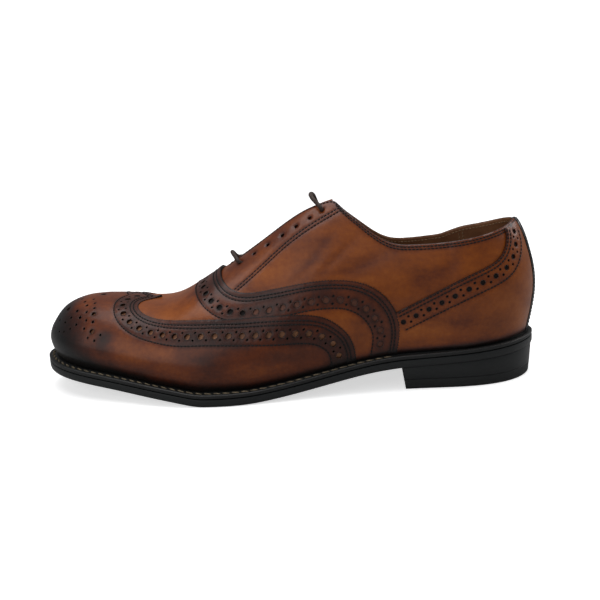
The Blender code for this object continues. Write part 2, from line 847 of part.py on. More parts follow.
def make_tongue(finish, parent):
    """The tongue, under the facings, from below the vamp to the top of the throat."""
    tool = bmesh.new()
    rows = []
    for row in range(TONGUE_ROWS + 1):
        way = row / TONGUE_ROWS
        x = TONGUE_ROOT + (TONGUE_END - TONGUE_ROOT) * way
        wide = TONGUE_NARROW + (TONGUE_WIDE - TONGUE_NARROW) * way
        line = []
        for column in range(TONGUE_COLUMNS + 1):
            y = wide * (2.0 * column / TONGUE_COLUMNS - 1.0)
            flat_x = x - TOE_POLE
            normal = normal_at(Front, flat_x, y)
            line.append(Front.point(flat_x, y) - normal * (WALL + TONGUE_CLEAR))
        rows.append(line)
    grid_faces(tool, rows)
    tongue = add_object("tongue", tool, finish, parent)
    thickness = tongue.modifiers.new("thickness", "SOLIDIFY")
    thickness.thickness = TONGUE_THICK
    thickness.offset = -1.0


def make_lace_bar(name, station, arch, lean, finish, parent):
    """One bar of the lace, from an outer eyelet over the throat to the inner one."""
    flat_x = station - TOE_POLE
    line = []
    for k in range(BAR_POINTS + 1):
        way = k / BAR_POINTS
        y = EYELET_OUT * (2.0 * way - 1.0)
        rise = math.sin(math.pi * way)
        x = flat_x - lean * rise
        line.append(Front.point(x, y) + normal_at(Front, x, y) * (CLEAR + LACE_THICK / 2.0 + arch * rise))
    tool = bmesh.new()
    rings = []
    for k, point in enumerate(line):
        ahead = Vector(line[min(k + 1, BAR_POINTS)] - line[max(k - 1, 0)]).normalized()
        across = ahead.cross(Vector((1.0, 0.0, 0.0))).normalized()
        along = ahead.cross(across)
        turned = []
        for step in range(BAR_SIDES):
            turn = 2.0 * math.pi * step / BAR_SIDES
            turned.append(tool.verts.new(Vector(point) + (across * math.cos(turn) + along * math.sin(turn))
                                         * LACE_THICK / 2.0))
        rings.append(turned)
    for low, high in zip(rings[:-1], rings[1:]):
        for k in range(BAR_SIDES):
            nxt = (k + 1) % BAR_SIDES
            tool.faces.new((low[k], low[nxt], high[nxt], high[k]))
    tool.faces.new(rings[0])
    tool.faces.new(rings[-1])
    add_object(name, tool, finish, parent)


def stand_over_origin(parent):
    """Bring the middle of the shoe's box over the origin."""
    bpy.context.view_layer.update()
    corners = []
    for child in parent.children:
        corners.extend(np.array(vertex.co) for vertex in child.data.vertices)
    low, high = np.min(corners, axis=0), np.max(corners, axis=0)
    parent.location = (-(low[0] + high[0]) / 2.0, -(low[1] + high[1]) / 2.0, 0.0)


def main():
    for old in list(bpy.data.objects):
        bpy.data.objects.remove(old, do_unlink=True)
    shoe = bpy.data.objects.new("shoe", None)
    bpy.context.scene.collection.objects.link(shoe)
    calf = material("tan_calf", (0.19, 0.075, 0.035), 0.35)
    dark_calf = material("burnished_calf", (0.055, 0.022, 0.013), 0.3)
    black_leather = material("black_leather", (0.010, 0.011, 0.012), 0.4)
    rubber = material("black_rubber", (0.012, 0.013, 0.014), 0.6)
    lining = material("lining", (0.20, 0.11, 0.06), 0.6)
    lace = material("lace", (0.035, 0.017, 0.012), 0.8)

    make_upper(calf, shoe)
    wing = wing_half(-1) + wing_half(1)[::-1][1:-1]
    make_panel("wing_cap", Front, wing, (-1, 1), CAP_OVERLAY, dark_calf, shoe)
    vamp = vamp_half(-1) + vamp_half(1)[::-1][1:-1]
    make_panel("vamp", Front, vamp, (-1, 1), OVERLAY, calf, shoe)
    make_panel("counter_outer", Heel, counter_loop(-1), (-1,), OVERLAY, calf, shoe)
    make_panel("counter_inner", Heel, counter_loop(1), (1,), OVERLAY, calf, shoe)
    make_panel("back_strip", Heel, back_strip_loop(), (-1, 1), CAP_OVERLAY, black_leather, shoe)
    make_tongue(calf, shoe)
    make_insole(lining, shoe)
    make_welt(black_leather, shoe)
    make_plate("outsole", sole_rings(sole_bottom, outsole_top), black_leather, shoe)
    make_heel(black_leather, rubber, shoe)
    for name, station, arch, lean in BARS:
        make_lace_bar(name, station, arch, lean, lace, shoe)
    stand_over_origin(shoe)


main()
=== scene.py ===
"""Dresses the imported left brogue: fine leather panels, punched holes, stitches, laces and finishes.

Everything is cut from the skin of the last, the surface that the CAD upper follows: ribs rise from
the feather line to a ridge over the foot. A place on it is a side, a rib number and a girth distance.
"""
from __future__ import annotations

import logging
import math
from dataclasses import dataclass, field
from enum import Enum
from typing import Callable, Sequence

import bmesh
import bpy
import numpy as np
from mathutils import Matrix, Vector
from mathutils.geometry import delaunay_2d_cdt
from mathutils.kdtree import KDTree

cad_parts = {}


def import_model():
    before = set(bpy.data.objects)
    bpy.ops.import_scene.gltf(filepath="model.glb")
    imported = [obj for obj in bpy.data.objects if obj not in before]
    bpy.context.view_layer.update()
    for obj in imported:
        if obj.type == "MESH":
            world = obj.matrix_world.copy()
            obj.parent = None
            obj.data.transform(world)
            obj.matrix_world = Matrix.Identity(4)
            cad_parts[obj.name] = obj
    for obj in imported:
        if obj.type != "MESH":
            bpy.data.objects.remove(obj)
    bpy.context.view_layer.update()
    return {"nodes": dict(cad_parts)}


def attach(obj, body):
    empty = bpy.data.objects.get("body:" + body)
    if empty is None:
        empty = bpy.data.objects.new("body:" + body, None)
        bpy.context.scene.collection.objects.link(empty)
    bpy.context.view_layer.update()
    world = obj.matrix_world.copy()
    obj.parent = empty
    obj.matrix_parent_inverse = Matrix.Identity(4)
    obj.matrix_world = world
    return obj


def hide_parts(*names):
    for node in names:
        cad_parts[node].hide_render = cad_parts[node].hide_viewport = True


log = logging.getLogger("brogue")

MM = 0.001
Table = Sequence[Sequence[float]]
Profile = Callable[[np.ndarray], np.ndarray]

# Stations of the last: shares of the length from the toe tip
TOE_POLE = 0.126
HEEL_POLE = 0.828
THROAT = 0.374
TONGUE_START = 0.338
TONGUE_END = 0.609
TREAD_END = 0.404
# From the toe tip to the frame's origin, in metres
TIP_TO_ORIGIN = (-0.15184, 0.00070, 0.0)

# Outsole seen from above, from the toe tip round the outer side: share of length, share of ball width
OUTLINE: Table = (
    (0.000, 0.045), (0.010, -0.065), (0.045, -0.205), (0.100, -0.306), (0.175, -0.382),
    (0.265, -0.466), (0.385, -0.507), (0.460, -0.478), (0.540, -0.426), (0.630, -0.368),
    (0.715, -0.334), (0.800, -0.324), (0.885, -0.304), (0.950, -0.228), (0.988, -0.110),
    (1.000, 0.005), (0.985, 0.128), (0.940, 0.240), (0.865, 0.306), (0.780, 0.308),
    (0.690, 0.286), (0.600, 0.298), (0.500, 0.362), (0.390, 0.452), (0.290, 0.493),
    (0.190, 0.481), (0.105, 0.426), (0.045, 0.325), (0.010, 0.175),
)
# Ridge: share of length, rise from toe to instep height, share of ball width to the inner side
RIDGE: Table = (
    (0.126, 0.000, 0.050), (0.190, -0.025, 0.050), (0.258, -0.042, 0.048), (0.290, 0.000, 0.045),
    (0.340, 0.145, 0.042), (0.410, 0.375, 0.038), (0.464, 0.580, 0.034), (0.513, 0.775, 0.030),
    (0.550, 0.905, 0.027), (0.590, 1.000, 0.024), (0.640, 1.070, 0.018), (0.730, 1.210, 0.010),
    (0.828, 1.290, 0.000),
)
# Rib shapes: place, ledge, then shares of reach and of rise at bulge, side and shoulder
RIBS: Table = (
    (0.00, 0.98, -0.125, 0.28, -0.005, 0.59, 0.270, 0.855),
    (0.50, 1.00, -0.105, 0.27, 0.005, 0.57, 0.280, 0.855),
    (1.00, 1.02, -0.080, 0.25, 0.020, 0.54, 0.305, 0.835),
    (1.29, 1.02, -0.050, 0.20, 0.055, 0.51, 0.360, 0.835),
    (1.41, 1.00, -0.045, 0.18, 0.090, 0.47, 0.440, 0.810),
    (1.55, 0.92, -0.045, 0.20, 0.120, 0.50, 0.500, 0.820),
    (1.69, 0.86, -0.045, 0.22, 0.100, 0.51, 0.440, 0.795),
    (1.84, 0.74, -0.050, 0.25, 0.060, 0.50, 0.330, 0.705),
    (2.00, 0.60, -0.060, 0.26, 0.050, 0.50, 0.290, 0.690),
    (2.50, 0.56, -0.080, 0.26, 0.010, 0.50, 0.200, 0.680),
    (3.00, 0.56, -0.090, 0.25, -0.020, 0.49, 0.145, 0.680),
)
RIB_KNOTS = (0.0, 0.17, 0.40, 0.63, 1.0)
# Topline: share of length, share of back height
TOPLINE: Table = (
    (0.600, 1.220), (0.616, 1.158), (0.629, 1.112), (0.642, 1.076), (0.662, 1.025),
    (0.689, 0.957), (0.710, 0.916), (0.732, 0.893), (0.760, 0.887), (0.800, 0.890),
    (0.845, 0.902), (0.890, 0.924), (0.930, 0.955), (0.960, 0.988), (0.985, 1.010),
)
# Sole bottom ahead of the tread: share of length, share of toe spring
SPRING: Table = (
    (0.000, 1.000), (0.066, 0.850), (0.130, 0.690), (0.200, 0.500), (0.265, 0.305),
    (0.310, 0.140), (0.335, 0.040), (0.352, 0.000),
)
# Sole bottom behind the tread: share of the way to the breast, share of heel height
SHANK: Table = (
    (0.00, 0.00), (0.10, 0.02), (0.25, 0.13), (0.45, 0.36), (0.65, 0.63), (0.85, 0.88), (1.00, 1.00),
)
# Seams of either side: rib place, share of the girth from the feather to the ridge
WING_SEAM: Table = (
    (1.176, 1.000), (1.158, 0.955), (1.133, 0.870), (1.124, 0.790), (1.128, 0.705),
    (1.146, 0.632), (1.178, 0.578), (1.225, 0.538), (1.320, 0.490), (1.405, 0.452),
    (1.480, 0.415), (1.540, 0.378), (1.595, 0.343), (1.638, 0.311), (1.670, 0.276),
    (1.697, 0.230), (1.718, 0.180), (1.732, 0.122), (1.739, 0.060), (1.740, 0.000),
)
VAMP_SEAM: Table = (
    (1.366, 1.000), (1.367, 0.920), (1.372, 0.830), (1.389, 0.715), (1.416, 0.638),
    (1.452, 0.590), (1.502, 0.556), (1.565, 0.522), (1.625, 0.497), (1.683, 0.475),
    (1.725, 0.455), (1.762, 0.426), (1.795, 0.385), (1.823, 0.333), (1.843, 0.276),
    (1.856, 0.217), (1.862, 0.160), (1.862, 0.105), (1.858, 0.052), (1.853, 0.000),
)
COUNTER_SEAM: Table = (
    (1.855, 0.230), (1.900, 0.265), (1.940, 0.296), (1.970, 0.3195), (1.985, 0.331),
    (1.994, 0.338), (2.000, 0.3425), (2.010, 0.345), (2.030, 0.349), (2.060, 0.354),
    (2.110, 0.362), (2.200, 0.376), (2.380, 0.400), (2.500, 0.418), (2.570, 0.438),
    (2.620, 0.463), (2.655, 0.487), (2.674, 0.504), (2.692, 0.525), (2.705, 0.550),
)
# Facing seam: rib place, millimetres round from the ridge
FACING_SEAM: Table = (
    (1.395, 36.5), (1.420, 33.9), (1.460, 30.6), (1.502, 27.6), (1.548, 24.9), (1.600, 22.9),
    (1.640, 21.2), (1.680, 18.6), (1.718, 15.2), (1.742, 12.4),
)
# Eyelets of either side: rib place, millimetres round from the ridge
EYELETS: Table = (
    (1.4245, 12.3), (1.465, 13.0), (1.505, 13.9), (1.548, 14.9), (1.588, 15.2), (1.627, 14.6),
    (1.6627, 12.4),
)
# Toe medallion of either side: millimetres behind the toe pole, round from the ridge, hole radius
MEDALLION: Table = (
    (0.0, 0.0, 1.5), (0.5, 23.7, 1.3), (-19.1, 11.8, 1.4), (1.1, 35.1, 1.5),
    (-3.4, 8.9, 0.8), (-0.9, 14.4, 0.8), (0.0, 19.2, 0.8), (1.1, 29.2, 0.9), (-4.7, 21.1, 0.8),
    (-5.9, 15.3, 0.9), (-8.4, 10.9, 0.8), (-11.9, 5.4, 0.8), (-3.8, 27.0, 0.8), (-8.7, 23.7, 1.0),
    (-11.6, 18.1, 1.0), (-15.8, 21.0, 0.8), (-11.4, 27.5, 0.8), (-21.0, 21.5, 0.8),
    (-4.8, 32.1, 0.8), (-16.6, 28.3, 0.7), (-22.5, 27.4, 0.7), (-27.2, 24.0, 0.7),
    (-1.5, 38.4, 0.7), (3.2, 41.0, 0.7), (6.9, 38.3, 0.7), (-26.8, 15.0, 0.8),
    (-37.2, 4.3, 0.7), (-33.2, 14.8, 0.7),
)
# Edges of the sole, from below: millimetres inside the edge, share of the thickness, millimetres above that
WELT_EDGE: Table = (
    (0.5, 0.0, 0.0), (0.05, 0.0, 0.35), (0.0, 0.5, 0.0), (0.05, 1.0, -0.5), (0.55, 1.0, -0.08),
    (1.3, 1.0, 0.0), (2.1, 1.0, -0.02), (2.6, 1.0, -0.35), (3.3, 1.0, -0.4), (3.9, 1.0, -0.05),
    (4.8, 1.0, 0.02),
)
OUTSOLE_EDGE: Table = (
    (9.0, 0.0, 0.0), (4.0, 0.0, 0.0), (1.5, 0.0, 0.0), (0.75, 0.0, 0.05), (0.2, 0.07, 0.0),
    (0.0, 0.2, 0.0), (0.0, 0.5, 0.0), (0.0, 0.84, 0.0), (0.14, 0.97, 0.0), (0.5, 1.0, 0.0),
)
# Lace over the throat: share of the way from the ridge to the inner eyelet, millimetres up, rib places back
BOTTOM_BAR: Table = (
    (-0.75, 2.6, -0.007), (-0.4, 4.6, -0.012), (0.0, 5.0, -0.016), (0.35, 3.2, -0.018), (0.7, 1.7, -0.014),
)
TOP_BAR: Table = (
    (0.8, 1.8, -0.010), (0.5, 2.8, -0.017), (0.15, 4.4, -0.020), (-0.2, 5.2, -0.023), (-0.55, 4.2, -0.017),
    (-0.8, 2.6, -0.008),
)
# Quarters' and lining's stitch rows, millimetres: beside the facing seam, below the throat and topline
FACING_ROWS = (0.2, -2.2)
THROAT_ROW = 1.7
TOPLINE_ROWS = (1.5, 3.0)
LINING_ROW = 2.4
# Places along the topline where the throat's row, the topline's rows and the lining's row start, and
# where the last two end beside the back strip
THROAT_ROW_FROM, TOPLINE_FROM, LINING_FROM, TOPLINE_TO = 1.385, 1.70, 1.74, 2.93
# Rib places of the lining's two side seams
LINING_SEAMS = (2.28, 2.33)
# How deep the points of a gimped edge's tooth are cut
TOOTH = (0.0, 0.55, 1.0, 0.55)
# Holes larger than this have more corners, and the leather sinks round them
LARGE_HOLE = 1.0 * MM
# A small step between rib places
PLACE_STEP = 0.012
# Gap between the rows of a hexagonal net, as a share of its step
NET_ROW = 0.866


class Side(Enum):
    """Side of the foot; the value is the sign of Y."""

    OUTER = -1
    INNER = 1


class Spline:
    """Natural cubic curve through a table's points."""

    def __init__(self, places: Sequence[float], values: Sequence) -> None:
        """Solves for the curve's bends.

        Args:
            places: rising places of the points.
            values: a number or a row of numbers for each place.
        """
        self.xs = np.asarray(places, float)
        self.ys = np.asarray(values, float)
        self.step = np.diff(self.xs)
        wide = self.step if self.ys.ndim == 1 else self.step[:, None]
        slope = np.diff(self.ys, axis=0) / wide
        matrix = np.eye(len(self.xs))
        right = np.zeros_like(self.ys)
        for i in range(1, len(self.xs) - 1):
            matrix[i, i - 1:i + 2] = self.step[i - 1], 2.0 * (self.step[i - 1] + self.step[i]), self.step[i]
            right[i] = 6.0 * (slope[i] - slope[i - 1])
        self.bend = np.linalg.solve(matrix, right)

    def __call__(self, x: float | np.ndarray) -> np.ndarray:
        """Value of the curve.

        Args:
            x: one place or an array of them, held inside the table's ends.

        Returns:
            The value or row of values at each place.
        """
        x = np.clip(np.asarray(x, float), self.xs[0], self.xs[-1])
        k = np.clip(np.searchsorted(self.xs, x) - 1, 0, len(self.xs) - 2)
        a = (self.xs[k + 1] - x) / self.step[k]
        h = self.step[k]
        if self.ys.ndim > 1:
            a, h = a[..., None], h[..., None]
        b = 1.0 - a
        bent = (a ** 3 - a) * self.bend[k] + (b ** 3 - b) * self.bend[k + 1]
        return a * self.ys[k] + b * self.ys[k + 1] + bent * h ** 2 / 6.0


def curve_of(table: Table, across: float, up: float) -> Spline:
    """Curve through a table of two shares, each times its own size."""
    return Spline([row[0] * across for row in table], [row[1] * up for row in table])


def smooth(low: float, high: float, x: float | np.ndarray) -> np.ndarray:
    """Soft step from 0 at low to 1 at high."""
    t = np.clip((np.asarray(x, float) - low) / (high - low), 0.0, 1.0)
    return t * t * (3.0 - 2.0 * t)


def run_of(points: np.ndarray) -> np.ndarray:
    """Run along a line of points."""
    return np.r_[0.0, np.cumsum(np.linalg.norm(np.diff(points, axis=0), axis=1))]


def read_at(want: np.ndarray, run: np.ndarray, rows: np.ndarray) -> np.ndarray:
    """Rows read at places of their run."""
    return np.column_stack([np.interp(want, run, rows[:, k]) for k in range(rows.shape[1])])


def left_of(line: np.ndarray) -> np.ndarray:
    """Unit directions to the left of a flat line, one at each point."""
    ahead = np.gradient(line, axis=0)
    ahead /= np.linalg.norm(ahead, axis=1, keepdims=True)
    return np.column_stack([-ahead[:, 1], ahead[:, 0]])


@dataclass
class Last:
    """The last's sizes and its skin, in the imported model's frame, in metres."""

    length: float = 302.0 * MM
    ball_width: float = 105.5 * MM
    toe_height: float = 53.4 * MM
    instep_height: float = 109.5 * MM
    back_height: float = 94.5 * MM
    toe_spring: float = 13.0 * MM
    heel_height: float = 13.6 * MM
    heel_length: float = 80.0 * MM
    seat_rise: float = 5.0 * MM
    outsole_thick: float = 4.6 * MM
    welt_thick: float = 2.5 * MM
    welt_ledge: float = 8.0 * MM
    clear: float = 0.3 * MM
    throat_gap: float = 12.5 * MM
    inner_dip: float = 3.2 * MM
    inner_dip_from: float = 1.60
    inner_dip_to: float = 2.40
    throat_flare: float = 0.7
    throat_limit: float = 1.15
    seat_curve: float = 1.15
    edge_points: int = 1440
    fan: int = 90
    between: int = 300
    levels: int = 120

    def __post_init__(self) -> None:
        """Works out the curves, then the skin's grid of points and normals."""
        size = self.length
        self.toe_pole, self.heel_pole = TOE_POLE * size, HEEL_POLE * size
        self.span = self.heel_pole - self.toe_pole
        self.throat_at, self.tongue_end = THROAT * size, TONGUE_END * size
        self.tread_end = TREAD_END * size
        self.breast = size - self.heel_length
        rise = self.instep_height - self.toe_height
        self.ridge = Spline([r[0] * size for r in RIDGE],
                            [(self.toe_height + r[1] * rise, r[2] * self.ball_width) for r in RIDGE])
        self.topline = curve_of(TOPLINE, size, self.back_height)
        self.spring = curve_of(SPRING, size, self.toe_spring)
        self.shank = curve_of(SHANK, 1.0, self.heel_height)
        self.shape = Spline([r[0] for r in RIBS], [r[1:] for r in RIBS])
        self.edge = self._outline(self.edge_points)
        self.shift = np.array(TIP_TO_ORIGIN)
        steps = np.linspace(0.0, 1.0, self.fan, endpoint=False)
        middle = np.linspace(1.0, 2.0, self.between, endpoint=False)
        self.places = np.r_[steps, middle, 2.0 + steps, 3.0]
        self._weigh()
        self._weave()

    def _outline(self, count: int) -> np.ndarray:
        """The outsole's edge in plan as a closed loop of evenly spaced points."""
        points = np.array(OUTLINE) * (self.length, self.ball_width)
        wrap = 4
        looped = np.vstack([points[-wrap:], points, points[:wrap]])
        run = np.r_[0.0, np.cumsum(np.hypot(*np.diff(looped, axis=0).T))]
        return Spline(run, looped)(np.linspace(run[wrap], run[wrap + len(points)], count, endpoint=False))

    def _weigh(self) -> None:
        """Weights of a rib's guide points at each level, even and odd about the ridge."""
        knots = np.array(RIB_KNOTS)
        mirrored = np.r_[knots, 2.0 - knots[-2::-1]]
        even = np.zeros((len(mirrored), len(knots)))
        odd = np.zeros_like(even)
        for k in range(len(knots)):
            even[k, k] = even[-1 - k, k] = 1.0
            if k < len(knots) - 1:
                odd[k, k], odd[-1 - k, k] = 1.0, -1.0
        levels = np.linspace(0.0, 1.0, 2 * self.levels + 1)
        self.even, self.odd = Spline(mirrored, even)(levels), Spline(mirrored, odd)(levels)

    def sole_bottom(self, x: float | np.ndarray) -> np.ndarray:
        """Height of the outsole's lower face at a station from the toe tip."""
        x = np.asarray(x, float)
        way = (x - self.tread_end) / (self.breast - self.tread_end)
        back = np.clip((x - self.breast) / self.heel_length, 0.0, 1.0)
        height = np.where(x < SPRING[-1][0] * self.length, self.spring(x), 0.0)
        height = np.where(way > 0.0, self.shank(np.clip(way, 0.0, 1.0)), height)
        seat = self.heel_height + self.seat_rise * back ** self.seat_curve
        return np.where(x > self.breast, seat, np.maximum(height, 0.0))

    def outsole_top(self, x: float | np.ndarray) -> np.ndarray:
        """Height of the outsole's upper face."""
        return self.sole_bottom(x) + self.outsole_thick

    def welt_top(self, x: float | np.ndarray) -> np.ndarray:
        """Height of the welt's upper face."""
        return self.outsole_top(x) + self.clear + self.welt_thick

    def plan(self, side: Side, place: float) -> tuple[np.ndarray, np.ndarray, float, float]:
        """A rib's foot, direction, reach to the sole's edge and how squarely it meets that edge.

        Args:
            side: side of the foot.
            place: rib place.

        Returns:
            Foot on the spine, unit direction in plan, reach in metres and the cosine at the edge.
        """
        sign = side.value
        if place < 1.0:
            turn, start = place * math.pi / 2.0, self.toe_pole
            way = np.array((-math.cos(turn), sign * math.sin(turn)))
        elif place > 2.0:
            turn, start = (3.0 - place) * math.pi / 2.0, self.heel_pole
            way = np.array((math.cos(turn), sign * math.sin(turn)))
        else:
            start = self.toe_pole + (place - 1.0) * self.span
            way = np.array((0.0, float(sign)))
        foot = np.array((start, self.ridge(start)[1]))
        away = self.edge - foot
        across = away @ np.array((-way[1], way[0]))
        ahead = away @ way
        after = np.roll(across, -1)
        hit = np.flatnonzero((across * after <= 0.0) & (ahead > 0.0) & (across != after))[0]
        share = across[hit] / (across[hit] - after[hit])
        nxt = (hit + 1) % len(self.edge)
        reach = ahead[hit] + share * (ahead[nxt] - ahead[hit])
        along = self.edge[nxt] - self.edge[hit]
        along = along / np.hypot(*along)
        return foot, way, float(reach), float(abs(way @ np.array((along[1], -along[0]))))

    def edge_point(self, side: Side, place: float, inset: float) -> np.ndarray:
        """Plan point on a rib, a given distance inside the outsole's edge."""
        foot, way, reach, square = self.plan(side, place)
        return foot + way * (reach - inset / square)

    def feather_inset(self, place: float) -> float:
        """How far the feather runs inside the outsole's edge."""
        return float(self.shape(place)[0]) * self.welt_ledge

    def _rib(self, side: Side, place: float) -> tuple[np.ndarray, float]:
        """A rib's points at even shares of its girth, and that girth."""
        foot, way, reach, square = self.plan(side, place)
        ledge, *pairs = self.shape(place)
        reach -= ledge * self.welt_ledge / square
        low = float(self.welt_top(foot[0] + way[0] * reach)) + self.clear
        rise = self.ridge(foot[0])[0] - low
        out = self.odd @ ((1.0 - np.r_[0.0, pairs[0::2], 1.0]) * reach)
        height = self.even @ (low + np.r_[0.0, pairs[1::2], 1.0] * rise)
        points = np.column_stack([foot[0] + way[0] * out, foot[1] + way[1] * out, height])
        run = run_of(points)
        return read_at(np.linspace(0.0, run[-1], self.levels + 1), run, points), float(run[-1])

    def _weave(self) -> None:
        """Both sides as one ring of ribs: points, outward normals, girths, feather runs and tops."""
        count = len(self.places)
        sides = {}
        self.girth: dict[Side, np.ndarray] = {}
        self.back_run: dict[Side, np.ndarray] = {}
        self.top_run: dict[Side, np.ndarray] = {}
        for side in Side:
            made = [self._rib(side, place) for place in self.places]
            sides[side] = np.array([rib for rib, _ in made])
            self.girth[side] = np.array([girth for _, girth in made])
            foot = np.linalg.norm(np.diff(sides[side][:, 0], axis=0), axis=1)
            self.back_run[side] = np.r_[np.cumsum(foot[::-1])[::-1], 0.0]
            tops = [self._top(side, k, sides[side][k]) for k in range(count)]
            self.top_run[side] = self._rounded(np.array(tops))
        self.ring = np.concatenate([sides[Side.OUTER], sides[Side.INNER][-2:0:-1]])
        around = np.roll(self.ring, -1, axis=0) - np.roll(self.ring, 1, axis=0)
        mirror = (2 * (count - 1) - np.arange(len(self.ring))) % len(self.ring)
        padded = np.concatenate([self.ring, self.ring[mirror][:, -2:-1]], axis=1)
        up = np.gradient(padded, axis=1)[:, :-1]
        normal = np.cross(around, up)
        fans = np.linalg.norm(around[:, -1], axis=1) < 1e-7
        size = np.linalg.norm(normal, axis=2, keepdims=True)
        self.normals = normal / np.maximum(size, 1e-15)
        self.normals[fans, -1] = self.normals[self.fan, -1]

    def _top(self, side: Side, k: int, rib: np.ndarray) -> float:
        """Girth from the feather to the throat or topline on a rib of the grid."""
        place, girth = self.places[k], self.girth[side][k]
        run = np.linspace(0.0, girth, self.levels + 1)
        limit = girth
        if self.place_of(self.throat_at) < place < 2.0:
            way = (rib[0, 0] - self.throat_at) / (self.tongue_end - self.throat_at)
            limit = girth - 0.5 * self.throat_gap * min(max(way, 0.0), self.throat_limit) ** self.throat_flare
        way = min(max((place - self.inner_dip_from) / (self.inner_dip_to - self.inner_dip_from), 0.0), 1.0)
        # The factor makes the curve's peak 1
        dip = 27.0 / 4.0 * way * (1.0 - way) ** 2
        lower = self.inner_dip * dip if side is Side.INNER else 0.0
        over = rib[:, 2] - self.topline(rib[:, 0]) + lower
        above = np.flatnonzero((over > 0.0) & (rib[:, 0] > self.length * TOPLINE[0][0]))
        if len(above):
            j = above[0]
            limit = min(limit, run[j - 1] + over[j - 1] / (over[j - 1] - over[j]) * (run[j] - run[j - 1]))
        return limit

    def _rounded(self, top: np.ndarray) -> np.ndarray:
        """The throat's upper corner, where the facing turns into the topline, softened over a few ribs."""
        corner = int(np.diff(top[: self.fan + self.between], 2).argmin()) + 1
        reach = 6
        window = np.hanning(2 * reach + 3)[1:-1]
        near = np.arange(corner - 2 * reach, corner + 2 * reach + 1)
        soft = [top[k - reach:k + reach + 1] @ window / window.sum() for k in near]
        share = np.hanning(len(near))
        made = top.copy()
        made[near] = share * np.array(soft) + (1.0 - share) * top[near]
        return made

    def place_of(self, x: float) -> float:
        """Rib place of a station between the two poles."""
        return 1.0 + (x - self.toe_pole) / self.span

    def full(self, side: Side, place: float | np.ndarray) -> np.ndarray:
        """Girth from the feather to the ridge."""
        return np.interp(place, self.places, self.girth[side])

    def top(self, side: Side, place: float | np.ndarray) -> np.ndarray:
        """Girth from the feather to the throat edge or the topline."""
        return np.interp(place, self.places, self.top_run[side])

    def girth_by(self, sign: np.ndarray, place: np.ndarray) -> np.ndarray:
        """Girth from the feather to the ridge, the side given by its sign."""
        return np.where(sign < 0, self.full(Side.OUTER, place), self.full(Side.INNER, place))

    def run_at(self, side: Side, place: float | np.ndarray) -> np.ndarray:
        """Run of the feather from the centre back to a rib."""
        return np.interp(place, self.places, self.back_run[side])

    def place_at(self, side: Side, run: float | np.ndarray) -> np.ndarray:
        """Rib place at a run of the feather from the centre back."""
        return np.interp(run, self.back_run[side][::-1], self.places[::-1])

    def at(self, sign: np.ndarray, place: np.ndarray, up: np.ndarray) -> tuple[np.ndarray, np.ndarray]:
        """Points and outward normals of the skin.

        Args:
            sign: -1 or 1 for each point's side.
            place: rib places.
            up: girth distances from the feather, in metres.

        Returns:
            World points and unit normals, a row for each place.
        """
        share = np.clip(up / self.girth_by(sign, place), 0.0, 1.0) * self.levels
        index = np.interp(place, self.places, np.arange(len(self.places)))
        index = np.where(sign < 0, index, 2 * (len(self.places) - 1) - index) % len(self.ring)
        k = np.floor(index).astype(int)
        j = np.minimum(np.floor(share).astype(int), self.levels - 1)
        s, t = (index - k)[:, None], (share - j)[:, None]
        nxt = (k + 1) % len(self.ring)
        mixed = []
        for grid in (self.ring, self.normals):
            low = grid[k, j] * (1.0 - s) + grid[nxt, j] * s
            high = grid[k, j + 1] * (1.0 - s) + grid[nxt, j + 1] * s
            mixed.append(low * (1.0 - t) + high * t)
        normal = mixed[1] / np.linalg.norm(mixed[1], axis=1, keepdims=True)
        return mixed[0] + self.shift, normal


class Pattern:
    """A flat pattern of the skin; subclasses say how it unrolls."""

    def __init__(self, last: Last) -> None:
        """Keeps the last that the pattern unrolls."""
        self.last = last

    def flat(self, sign: np.ndarray, place: np.ndarray, up: np.ndarray) -> np.ndarray:
        """Flat points of places on the skin."""
        raise NotImplementedError

    def back(self, flat: np.ndarray) -> tuple[np.ndarray, np.ndarray, np.ndarray]:
        """Side signs, rib places and girth distances of flat points."""
        raise NotImplementedError

    def raise_up(self, flat: np.ndarray, lift: float | np.ndarray) -> tuple[np.ndarray, np.ndarray]:
        """World points over flat points at a height over the skin, with their normals."""
        points, normals = self.last.at(*self.back(flat))
        return points + normals * np.broadcast_to(np.asarray(lift, float), len(flat))[:, None], normals


class FrontPattern(Pattern):
    """Toe, vamp and quarters: x from the toe pole, y girth from the ridge; polar ahead of the pole."""

    def flat(self, sign: np.ndarray, place: np.ndarray, up: np.ndarray) -> np.ndarray:
        """Flat points of places on the skin."""
        sign, place, up = np.broadcast_arrays(np.asarray(sign, float), place, up)
        out = self.last.girth_by(sign, place) - up
        turn = np.clip(place, 0.0, 1.0) * math.pi / 2.0
        x = np.where(place < 1.0, -out * np.cos(turn), (place - 1.0) * self.last.span)
        return np.column_stack([x, sign * out * np.where(place < 1.0, np.sin(turn), 1.0)])

    def back(self, flat: np.ndarray) -> tuple[np.ndarray, np.ndarray, np.ndarray]:
        """Side signs, rib places and girth distances of flat points."""
        x, y = flat[:, 0], flat[:, 1]
        sign = np.where(y > 0.0, 1.0, -1.0)
        fan = x < 0.0
        place = np.where(fan, np.arctan2(np.abs(y), -x) / (math.pi / 2.0), 1.0 + x / self.last.span)
        out = np.where(fan, np.hypot(x, y), np.abs(y))
        return sign, place, self.last.girth_by(sign, place) - out


